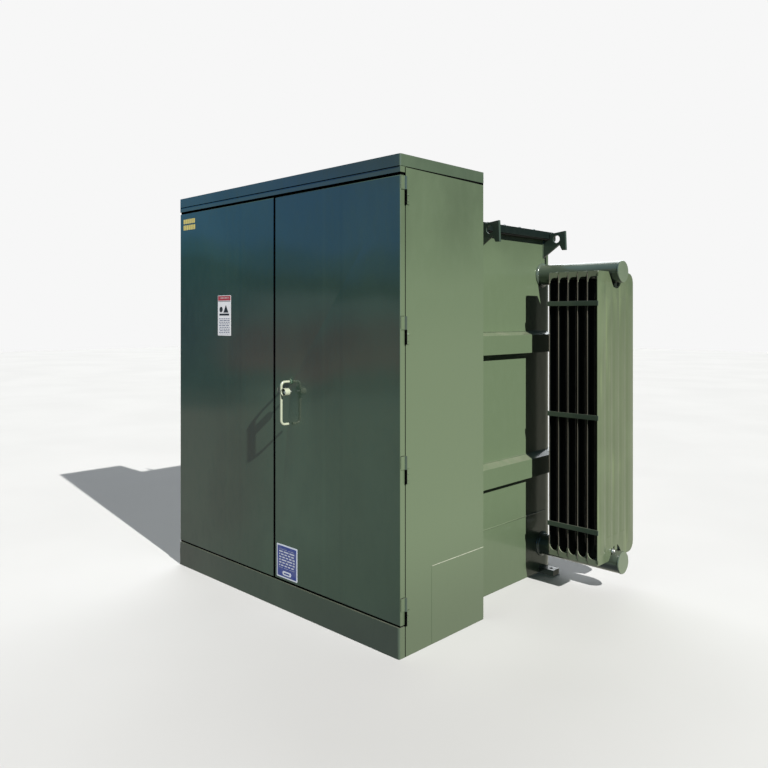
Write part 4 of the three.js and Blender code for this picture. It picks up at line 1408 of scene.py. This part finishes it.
# ---- radiators ----
@dataclass
class Radiator:
    """One bank of fluted panels between two header pipes."""

    side: Side
    tank_half: float = TANK_HALF
    panels: int = 6
    first: float = 164.0
    pitch: float = 55.0
    thick: float = 11.0
    rim: float = 3.2
    front: float = 1155.0
    rear: float = 1546.0
    top: float = 1655.0
    bottom: float = 171.0
    flutes: int = 5
    groove: float = 9.0
    border: float = 17.0
    slope: float = 15.0
    # Millimetres at each end of a gap that keep the ordinary paint: the sunlit strip beside the painted
    # shade.
    lit_margin: float = 6.0
    head: float = 28.0
    rounding: float = 19.0
    notch: float = 92.0
    shoulder_gap: float = 82.0
    shoulder_radius: float = 40.0
    shoulder_sheet: float = 7.0
    shoulder_skirt: float = 26.0
    pipe_radius: float = 56.0
    pipe_depth: float = 1350.0
    pipe_reach: float = 483.0
    pipe_heights: dict[Level, float] = field(
        default_factory=lambda: {Level.TOP: 1656.0, Level.BOTTOM: 153.0})

    @property
    def word(self) -> str:
        """The side's name in the piece names."""
        return self.side.name.lower()

    def middle(self, number: int) -> float:
        """X of the middle of a panel on the right bank."""
        return self.tank_half + self.first + number * self.pitch

    def step(self, number: int) -> Vector:
        """How far a panel of the right bank stands from the first one."""
        return Vector((number * self.pitch * MM, 0, 0))

    def edge(self, level: Level) -> float:
        """The height at which the panels end."""
        return self.top if level is Level.TOP else self.bottom

    def strips(self) -> list[tuple[float, float]]:
        """The depth ranges of the flutes.

        Returns:
            Where each flute begins and ends.
        """
        width = (self.rear - self.front - 2 * self.border - (self.flutes - 1) * self.groove) / self.flutes
        starts = [self.front + self.border + i * (width + self.groove) for i in range(self.flutes)]
        return [(start, start + width) for start in starts]

    def strip_heights(self, start: float, end: float) -> tuple[float, float]:
        """How low and how high a flute runs: short of the pipes' notches, or nearly full height.

        Args:
            start: Where the flute begins.
            end: Where it ends.

        Returns:
            Its lowest and its highest point.
        """
        reach = self.notch * 0.8
        near = start < self.pipe_depth + reach and end > self.pipe_depth - reach
        return (self.bottom + 118, self.top - 128) if near else (self.bottom + 46, self.top - 46)

    def panel(self) -> Piece:
        """Presses the first panel of the right bank out of its CAD outline.

        Returns:
            The panel.
        """
        middle = self.middle(0)
        piece = Piece.of_node("radiator_right_panel_1", "radiator_panel")
        with piece.edit(Kind.FACE, everything=True):
            bpy.ops.transform.resize(value=(self.rim / self.thick, 1, 1), center_override=at(middle, 0, 0))

        def front_corner(edge: bmesh.types.BMEdge) -> bool:
            """Whether an edge is at a front corner of the outline."""
            place = edge.verts[0].co
            return (runs(edge, "x", 0.5 * self.rim * MM) and abs(place.y - at(0, self.front, 0).y) < NEAR
                    and any(abs(place.z - self.edge(level) * MM) < MM for level in Level))

        piece.soften(self.rounding, 5, 2, 60, test=front_corner)
        strips = self.strips()
        heights = sorted({z for strip in strips for z in self.strip_heights(*strip)})
        piece.cut_at([at(0, d, 0) for strip in strips for d in strip], (0, 1, 0))
        piece.cut_at([at(0, 0, z) for z in heights], (0, 0, 1))

        def pressed(face: bmesh.types.BMFace) -> bool:
            """Whether a face belongs to a flute.

            Args:
                face: A face of the panel.

            Returns:
                True for a face inside one of the flutes' outlines.
            """
            if abs(face.normal.x) < FACING:
                return False
            centre = face.calc_center_median()
            depth, z = centre.y / MM + DOOR_PLANE, centre.z / MM
            for start, end in strips:
                low, high = self.strip_heights(start, end)
                if start < depth < end and low < z < high:
                    return True
            return False

        with piece.edit(Kind.FACE):
            piece.pick(Kind.FACE, pressed)
            bpy.ops.mesh.inset(thickness=self.slope * MM, depth=(self.thick - self.rim) / 2 * MM)
        piece.soften(6, 3, 40, 8, test=lambda e: runs(e, "z", 0.05)
                     and abs(e.verts[0].co.x / MM - middle) > 3.5)
        piece.soften(0.9, 2, 6, 60)
        return piece.smooth(50)

    def grime(self, piece: Piece, number: int) -> None:
        """Paints shade, near black, on the faces that look into the gaps, and a painted highlight on the
        front rims of the inner panels.

        Args:
            piece: A panel that has its main finish already.
            number: Its place in the bank, from the tank.
        """
        middle = self.middle(number)
        outer = number == self.panels - 1

        def in_gap(off: float, depth: float, z: float) -> bool:
            """Whether a face looks into a gap between two panels."""
            inside = self.front + self.lit_margin < depth < self.rear - self.lit_margin
            return inside and abs(off - middle) > 1.0 and not (outer and off > middle)

        piece.shade(Finishes.RADIATOR_DEEP, in_gap)
        # Painted highlight on the front rims of the inner panels.
        if not outer:
            piece.shade(Finishes.RIM, lambda off, depth, z: depth < self.front + 2.5)

    def gap_head(self, level: Level) -> Piece:
        """The sheet that closes the front of a gap, rounded where it meets the inner panel.

        Args:
            level: Whether it is at the top or at the bottom.

        Returns:
            The sheet beside the first panel.
        """
        sign, edge = level.value, self.edge(level)
        left, right = self.middle(0) - self.rim / 2, self.middle(1) + self.rim / 2
        inner = edge - sign * self.head
        low, high = sorted((inner, edge - sign * 1.5))
        sheet = Piece.cube("gap_head", at(left, self.front + 1.5, low), at(right, self.front + 6.5, high))
        corner = left + self.rim
        sheet.cut_at([at(corner, 0, 0)], (1, 0, 0))
        with sheet.edit(Kind.FACE):
            sheet.pick(Kind.FACE, lambda f: f.normal.z * sign < -FACING
                       and f.calc_center_median().x < corner * MM)
            Piece.draw_out((0, 0, -sign * 34 * MM))
        sheet.soften(27, 7, 3, 60, test=lambda e: all(
            abs(v.co.x - corner * MM) < NEAR and abs(v.co.z - inner * MM) < NEAR for v in e.verts))
        return sheet.soften(0.6, 1, 3, 60).smooth(40)

    def arch(self, level: Level, start: float, end: float) -> Piece:
        """The folded shoulder that joins a panel to the next one.

        Args:
            level: Whether it is at the top or at the bottom.
            start: Front end of the shoulder.
            end: Rear end of the shoulder.

        Returns:
            The shoulder beside the first panel.
        """
        left = self.middle(0) - self.thick / 2
        right = self.middle(1) - self.thick / 2
        sign, radius = level.value, self.shoulder_radius
        base = self.edge(level) - sign * radius
        strip = Piece.cube("shoulder", at(left, start, base - sign * self.shoulder_skirt),
                           at(left + self.shoulder_sheet, end, base))
        with strip.edit(Kind.FACE):
            strip.pick(Kind.FACE, lambda f: f.normal.z * sign > FACING)
            bpy.ops.mesh.spin(steps=8, angle=sign * math.pi / 2, axis=(0, -1, 0),
                              center=at(left + radius, 0, base))
            Piece.draw_out(((right - left - radius) * MM, 0, 0))
        return strip.mend().soften(1.2, 2, 8, 60).smooth(40)

    def pipe(self, level: Level) -> Piece:
        """A header pipe with its weld collar and flat cap.

        Args:
            level: Whether it is at the top or at the bottom.

        Returns:
            The pipe on the right bank.
        """
        r, end = self.pipe_radius, self.pipe_reach
        origin = at(self.tank_half, self.pipe_depth, self.pipe_heights[level])
        piece = Piece.turned(f"header_{level.word}", origin, Along.X, [
            (r + 12, 0.3), (r + 12, 4), (r + 10.5, 6), (r + 4, 8), (r + 1.5, 11), (r, 15), (r, end - 11),
            (r + 1.4, end - 9), (r + 1.6, end - 6), (r + 0.6, end - 3), (r - 0.6, end - 0.6),
            (r - 2, end)], 56)
        return piece.smooth(35)

    def drain_plug(self) -> Piece:
        """The small plug in the outer panel's lower edge.

        Returns:
            The plug of the right bank.
        """
        origin = at(self.middle(self.panels - 1) + self.thick / 2 - 2, self.pipe_depth - 42, 216)
        plug = Piece.turned("drain_plug", origin, Along.X,
                            [(13, 0), (13, 5), (12, 6.5), (8.5, 6.6), (8.5, 13), (7, 14.5)], 20)
        return plug.smooth(35)

    def fill_gaps(self, piece: Piece, stem: str, finish: Finishes) -> None:
        """Copies a piece of the first gap into every gap of the bank, and removes the piece.

        Args:
            piece: The piece beside the first panel.
            stem: What the copies' names say about it.
            finish: Their finish.
        """
        for number in range(self.panels - 1):
            made = piece.copy(f"radiator_{self.word}_{stem}_{number}", self.step(number), self.side)
            made.done(finish, "radiator_paint")
        bpy.data.objects.remove(piece.obj)

    def build(self) -> None:
        """Makes and dresses the bank."""
        panel = self.panel()
        for number in range(self.panels):
            name = f"radiator_{self.word}_panel_{number + 1}"
            made = panel.copy(f"{name}_pressed", self.step(number), self.side)
            made.done(Finishes.RADIATOR, "radiator_paint", stands_for=[name])
            # Painted shade in the gaps and a painted highlight on the rims.
            self.grime(made, number)
        for level in Level:
            # Painted light: the gap heads take a pale green for the sunlit arcs between the panels.
            self.fill_gaps(self.gap_head(level), f"head_{level.word}", Finishes.SHOULDER)
            for place, start, end in (("front", self.front + 7, self.pipe_depth - self.shoulder_gap),
                                      ("rear", self.pipe_depth + self.shoulder_gap, self.rear - 34)):
                arch = self.arch(level, start, end)
                self.fill_gaps(arch, f"shoulder_{level.word}_{place}", Finishes.RADIATOR)
        bpy.data.objects.remove(panel.obj)
        for level in Level:
            pipe = self.pipe(level)
            made = pipe.copy(f"radiator_{self.word}_pipe_{level.word}", side=self.side)
            header = f"radiator_{self.word}_header_{level.word}"
            # Painted shade on the pipe and painted light on its end cap.
            made.done(Finishes.PIPE, "radiator_paint", stands_for=[header])
            made.shade(Finishes.CAP, lambda off, depth, z: off > self.tank_half + self.pipe_reach - 4)
            bpy.data.objects.remove(pipe.obj)
        plug = self.drain_plug()
        plug.copy(f"radiator_{self.word}_drain_plug", side=self.side).done(Finishes.STEEL, "plated_steel")
        bpy.data.objects.remove(plug.obj)
        for place in ("top", "middle", "bottom"):
            finished_node(f"radiator_{self.word}_brace_{place}", Finishes.BRACE, "radiator_paint", width=1.4,
                          shortest=4)


# ---- fittings inside the cabinet ----
@dataclass
class Fittings:
    """The electrical and oil fittings on the tank's front."""

    face: float = 575.2
    hv_x: tuple[float, ...] = (-610.0, -415.0, -220.0)
    hv_z: float = 1250.0
    fuse_z: float = 1560.0
    lv_x: tuple[float, ...] = (130.0, 290.0, 450.0, 610.0)
    lv_z: float = 1130.0
    lv_stem: float = 73.0
    fuse_face: float = 575.5

    def build(self) -> None:
        """Makes and dresses every fitting."""
        self.hv_bushings()
        self.lv_bushings()
        self.fuses()
        self.gauge("oil_thermometer", 560, 1500, 52, Finishes.OIL_DIAL, 40)
        self.gauge("oil_level_gauge", 400, 1640, 42, Finishes.LEVEL_DIAL, -35)
        for name, finish, slot in (
                ("load_break_switch_handle", Finishes.RED, "red_enamel"),
                ("tap_changer_handle", Finishes.KNOB, "moulded_rubber"),
                ("drain_valve_handwheel", Finishes.RED, "red_enamel"),
                ("pressure_relief_valve", Finishes.BRASS, "brass")):
            finished_node(name, finish, slot, name, 1.6, 1.5, 35)
        finished_node("core", Finishes.CORE, "core_steel", width=2)
        for number in (1, 2, 3):
            finished_node(f"coil_{number}", Finishes.COIL, "wound_coil", width=3)

    def hv_bushings(self) -> None:
        """The dead-front wells with their elbows' sleeves and bail rings."""
        for number, x in enumerate(self.hv_x, 1):
            well = Piece.turned(f"hv_bushing_{number}_body", at(x, self.face, self.hv_z), Along.OUT, [
                (58, 0), (58, 9), (56, 12), (46, 12.5), (44, 14), (44, 38), (42, 41), (37, 47), (30, 120),
                (28.5, 122), (28.5, 126), (29.5, 128), (25, 166), (23, 171), (17, 172), (13, 170), (11, 164),
                (11, 60)], 40)
            well.smooth(40).done(Finishes.RUBBER, "moulded_rubber", stands_for=[f"hv_bushing_{number}"])
            clamp = Piece.turned(f"hv_clamp_{number}", at(x, self.face - 12, self.hv_z), Along.OUT,
                                 [(56, 0), (56, 4), (54, 5.5), (45, 5.5)], 40)
            clamp.smooth(35).done(Finishes.STEEL, "plated_steel")
            self.studs(f"hv_studs_{number}", x, self.hv_z, 51, 4, 17)

    def studs(self, name: str, x: float, z: float, radius: float, count: int, out: float) -> None:
        """Nuts on a circle round a fitting.

        Args:
            name: Name of the joined nuts.
            x: The fitting's middle.
            z: The fitting's middle.
            radius: The circle's radius.
            count: How many nuts.
            out: Where their foot stands in front of the tank.
        """
        nuts = []
        for number in range(count):
            angle = math.tau * (number + 0.5) / count
            place = at(x + radius * math.cos(angle), self.face - out, z + radius * math.sin(angle))
            nuts.append(Piece.turned(f"{name}_{number}", place, Along.OUT,
                                     [(5.4, -5), (5.4, 4), (4.8, 5), (3, 5.1), (3, 9), (2.4, 9.6)], 6))
        joined = nuts[0].take_in(*nuts[1:]).smooth(30)
        joined.obj.name = name
        joined.done(Finishes.STEEL, "plated_steel")

    def lv_bushings(self) -> None:
        """The ribbed resin bushings with their tinned spades."""
        for number, x in enumerate(self.lv_x, 1):
            stem = Piece.turned(f"lv_bushing_{number}_body", at(x, self.face, self.lv_z), Along.OUT, [
                (60, 0), (60, 9), (58, 12), (44, 16), (40, 24), (40, 28), (43, 31), (48, 36), (48, 39),
                (43, 42), (40, 44), (41, 47), (46, 52), (46, 55), (42, 58), (38, 61), (38, 70), (36, 72),
                (22, self.lv_stem)], 40)
            stem.smooth(40).done(Finishes.EPOXY, "cast_epoxy")
            spade = Piece.of_node(f"lv_bushing_{number}", f"lv_spade_{number}")
            edge = at(0, self.face - self.lv_stem, 0).y
            with spade.edit(Kind.FACE, everything=True):
                bpy.ops.mesh.bisect(plane_co=(0, edge, 0), plane_no=(0, 1, 0), clear_outer=True,
                                    use_fill=True)
            spade.mend().soften(0.8, 2, 3).smooth(35)
            spade.done(Finishes.TINNED, "plated_steel", stands_for=[f"lv_bushing_{number}"])
            self.studs(f"lv_studs_{number}", x, self.lv_z, 52, 4, 13)

    def fuses(self) -> None:
        """The draw-out fuse holders with their pull rings."""
        for number, x in enumerate(self.hv_x, 1):
            node = f"fuse_holder_{number}"
            body = Piece.turned(f"{node}_body", at(x, self.fuse_face, self.fuse_z), Along.OUT, [
                (12, -240), (14, -238), (14, -60), (18.4, -56), (18.4, 34.4), (23, 34.6), (25, 36), (25, 50),
                (23, 52), (14, 57), (12, 60), (12, 70), (10, 73)], 36)
            ring = self.ring(f"{node}_ring", at(x, self.fuse_face - 86, self.fuse_z), 16, 3.8)
            body.take_in(ring).smooth(40).done(Finishes.BRASS, "brass", node, [node])

    def ring(self, name: str, centre: Vector, radius: float, bar: float) -> Piece:
        """A pull ring across the X axis, a bar spun right round.

        Args:
            name: The ring's name.
            centre: Its middle.
            radius: Radius to the middle of the bar.
            bar: Radius of the bar.

        Returns:
            The ring.
        """
        top = centre + Vector((0, 0, radius * MM))
        ring = Piece.circle(name, top, bar, Vector(Along.OUT.value), 10, "NOTHING")
        with ring.edit(Kind.EDGE, everything=True):
            bpy.ops.mesh.spin(steps=24, angle=math.tau, axis=(1, 0, 0), center=centre)
        return ring.mend()

    def gauge(self, node: str, x: float, z: float, radius: float, dial: Finishes, degrees: float) -> None:
        """A round gauge with a bezel, a dial and a pointer.

        Args:
            node: The CAD node that it stands for.
            x: Its middle.
            z: Its middle.
            radius: Radius of its case.
            dial: The dial's finish.
            degrees: Where the pointer stands, from straight up.
        """
        case = Piece.turned(f"{node}_case", at(x, self.face, z), Along.OUT, [
            (radius * 0.55, 0), (radius * 0.55, 17), (radius - 3, 19), (radius - 1, 21), (radius - 1, 36),
            (radius, 37), (radius, 42), (radius - 1.5, 44), (radius - 5, 44), (radius - 6.5, 42.5),
            (radius - 7, 39)], 56)
        case.smooth(35).done(Finishes.GAUGE, "gauge_metal", stands_for=[node])
        face = Piece.turned(f"{node}_dial", at(x, self.face - 38.5, z), Along.OUT,
                            [(radius - 7.2, 0), (radius - 7.2, 0.8), (radius - 8, 1.2)], 48)
        face.smooth(30).done(dial, "gauge_metal")
        pivot = at(x, self.face - 41, z)
        hand = Piece.cube(f"{node}_pointer", at(x - 1.2, self.face - 41.6, z - 8),
                          at(x + 1.2, self.face - 40.6, z + radius - 16))
        with hand.edit(Kind.VERT):
            hand.pick(Kind.VERT, lambda v: v.co.z > (z + 4) * MM)
            bpy.ops.transform.resize(value=(0.25, 1, 1), center_override=pivot)
            bpy.ops.mesh.select_all(action="SELECT")
            bpy.ops.transform.rotate(value=math.radians(degrees), orient_axis="Y", center_override=pivot)
        boss = Piece.turned(f"{node}_boss", at(x, self.face - 40, z), Along.OUT,
                            [(4.5, 0), (4.5, 2), (3.6, 2.8)], 20)
        hand.take_in(boss).smooth(35).done(Finishes.KNOB, "gauge_metal")


# ---- stage ----
Stops = tuple[tuple[float, tuple[float, float, float]], ...]


@dataclass
class Studio:
    """Floor, light and camera.

    The stops are the colours that the paint mirrors, from below the horizon to well above it: one row for
    what lies in front, one for the left and one for the rear.
    """

    sun_way: tuple[float, float, float] = (0.80, -0.14, 0.57)
    fill_way: tuple[float, float, float] = (-0.62, 0.62, 0.5)
    eye: tuple[float, float, float] = (2.951, -2.992, 1.417)
    heading: float = 44.09
    lens: float = 34.69
    sensor: float = 36.0
    drop: float = -0.0861
    horizon: float = 0.4
    raggedness: float = 0.16
    front_stops: Stops = (
        (0.00, (0.3, 0.33, 0.34)), (0.07, (0.34, 0.44, 0.36)), (0.16, (0.45, 0.6, 0.49)),
        (0.34, (0.47, 0.62, 0.5)), (0.375, (0.42, 0.55, 0.47)), (0.41, (0.26, 0.33, 0.3)),
        (0.45, (0.45, 0.26, 0.28)), (0.49, (0.36, 0.21, 0.25)), (0.54, (0.27, 0.4, 0.4)),
        (0.565, (0.03, 0.13, 0.13)), (0.6, (0.05, 0.26, 0.46)), (0.63, (0.09, 0.4, 0.92)),
        (0.7, (0.09, 0.38, 0.95)), (0.78, (0.16, 0.31, 0.56)), (1.00, (0.15, 0.35, 0.55)))
    left_stops: Stops = (
        (0.00, (0.24, 0.2, 0.22)), (0.1, (0.38, 0.36, 0.34)), (0.33, (0.38, 0.36, 0.34)),
        (0.37, (0.08, 0.12, 0.16)), (0.4, (0.0, 0.06, 0.12)), (0.49, (0.03, 0.08, 0.16)),
        (0.57, (0.0, 0.12, 0.14)), (0.6, (0.04, 0.28, 0.42)), (0.63, (0.08, 0.38, 0.8)),
        (0.72, (0.08, 0.38, 0.8)), (0.8, (0.14, 0.28, 0.5)), (1.00, (0.15, 0.35, 0.55)))
    rear_stops: Stops = (
        (0.00, (0.5, 0.5, 0.42)), (0.40, (0.4, 0.4, 0.32)), (0.52, (0.2, 0.22, 0.18)),
        (0.60, (0.03, 0.06, 0.06)), (1.00, (0.12, 0.18, 0.2)))

    def sun(self, name: str, way: Sequence[float], energy: float, spread: float,
            colour: Sequence[float]) -> None:
        """Adds a distant lamp.

        Args:
            name: Its name.
            way: Direction towards it.
            energy: Strength.
            spread: Its angle in degrees.
            colour: Its colour.
        """
        lamp = bpy.data.lights.new(name, "SUN")
        lamp.energy, lamp.angle, lamp.color = energy, math.radians(spread), colour
        obj = bpy.data.objects.new(name, lamp)
        obj.rotation_mode = "QUATERNION"
        obj.rotation_quaternion = Vector(way).to_track_quat("Z", "Y")
        bpy.context.scene.collection.objects.link(obj)

    def world(self) -> None:
        """Pale to the camera, soft colours by height and direction in reflections, and dim even light."""
        world = bpy.data.worlds.new("studio")
        bpy.context.scene.world = world
        world.use_nodes = True
        tree = world.node_tree
        tree.nodes.clear()

        def node(kind: str, *sources: object, **settings: object) -> bpy.types.Node:
            """Adds a node to the world.

            Args:
                kind: The node's type.
                sources: A socket or a value for each of its inputs in turn; None leaves the input alone.
                settings: The node's settings by name.

            Returns:
                The node.
            """
            made = tree.nodes.new(kind)
            for name, value in settings.items():
                setattr(made, name, value)
            for socket, source in zip(made.inputs, sources):
                if isinstance(source, bpy.types.NodeSocket):
                    tree.links.new(source, socket)
                elif source is not None:
                    socket.default_value = source
            return made

        way = node("ShaderNodeTexCoord").outputs["Generated"]
        split = node("ShaderNodeSeparateXYZ", way).outputs
        height = node("ShaderNodeMapRange", split["Z"], -self.horizon, self.horizon).outputs[0]
        hills = node("ShaderNodeTexNoise", way, None, 4.0, 3.0).outputs["Fac"]
        rough = self.raggedness
        rise = node("ShaderNodeMath", hills, rough, height, operation="MULTIPLY_ADD").outputs[0]
        level = node("ShaderNodeMath", rise, rough / 2, operation="SUBTRACT").outputs[0]
        ragged = node("ShaderNodeMath", hills, rough, split["X"], operation="MULTIPLY_ADD").outputs[0]
        ramps = []
        for wanted in (self.front_stops, self.left_stops, self.rear_stops):
            ramp = node("ShaderNodeValToRGB", level)
            ramp.color_ramp.interpolation = "EASE"
            stops = ramp.color_ramp.elements
            while len(stops) < len(wanted):
                stops.new(0.5)
            for stop, (place, colour) in zip(stops, wanted):
                stop.position, stop.color = place, (*colour, 1.0)
            ramps.append(ramp.outputs["Color"])
        mirror = ramps[0]
        for source, low, high, other in ((ragged, -0.7, -0.75, ramps[1]), (split["Y"], -0.1, 0.2, ramps[2])):
            share = node("ShaderNodeMapRange", source, low, high).outputs[0]
            blend = node("ShaderNodeMix", data_type="RGBA")
            for place, socket in ((0, share), (6, mirror), (7, other)):
                tree.links.new(socket, blend.inputs[place])
            mirror = blend.outputs[2]
        path = node("ShaderNodeLightPath").outputs
        even = node("ShaderNodeBackground", (0.75, 0.9, 1.0, 1.0), 0.065).outputs[0]
        pale = node("ShaderNodeBackground", (1.0, 1.0, 1.0, 1.0), 0.93).outputs[0]
        mirrored = node("ShaderNodeBackground", mirror, 1.0).outputs[0]
        glossy = node("ShaderNodeMixShader", path["Is Glossy Ray"], even, mirrored).outputs[0]
        seen = node("ShaderNodeMixShader", path["Is Camera Ray"], glossy, pale).outputs[0]
        node("ShaderNodeOutputWorld", seen)

    def floor(self) -> None:
        """A plain pale floor that doesn't show in the paint."""
        Piece.put_down()
        bpy.ops.mesh.primitive_plane_add(size=60, location=(0, 0, -0.001))
        floor = Piece.added("floor").obj
        sheet = NodeSheet("floor_paint")
        cloud = sheet.spread(sheet.noise(0.6, 3), 0.3, 0.7)
        sheet.join(sheet.mix(cloud, (0.66, 0.66, 0.66), (0.69, 0.69, 0.69)), "Base Color")
        sheet.constants(Roughness=0.9, Specular_IOR_Level=0.1)
        floor.data.materials.append(sheet.material)
        floor.visible_glossy = False
        floor.visible_diffuse = False

    def camera(self) -> None:
        """The camera, level and turned to the object's front right corner."""
        data = bpy.data.cameras.new("camera")
        data.lens, data.sensor_width, data.shift_y = self.lens, self.sensor, self.drop
        obj = bpy.data.objects.new("camera", data)
        obj.location = self.eye
        obj.rotation_euler = Euler((math.pi / 2, 0, math.radians(self.heading)))
        bpy.context.scene.collection.objects.link(obj)
        bpy.context.scene.camera = obj

    def build(self) -> None:
        """Sets the stage."""
        bpy.context.scene.view_settings.view_transform = "Standard"
        self.world()
        self.floor()
        self.sun("key", self.sun_way, 5.4, 0.6, (1.0, 0.98, 0.94))
        self.sun("fill", self.fill_way, 2.0, 60.0, (0.95, 0.98, 1.0))
        self.camera()


def main() -> None:
    """Builds and dresses everything, one sub-assembly after the other."""
    logging.basicConfig(level=logging.INFO, format="%(name)s %(message)s")
    Studio().build()
    Cabinet().build()
    Door("lv_door", Finishes.LV_DOOR).build()
    Door("hv_door", Finishes.HV_DOOR, seal=(11.6, 22.6)).build()
    Films().build()
    HandleSet().build()
    Tank().build()
    for side in Side:
        Radiator(side).build()
    Fittings().build()


if __name__ == "__main__":
    main()
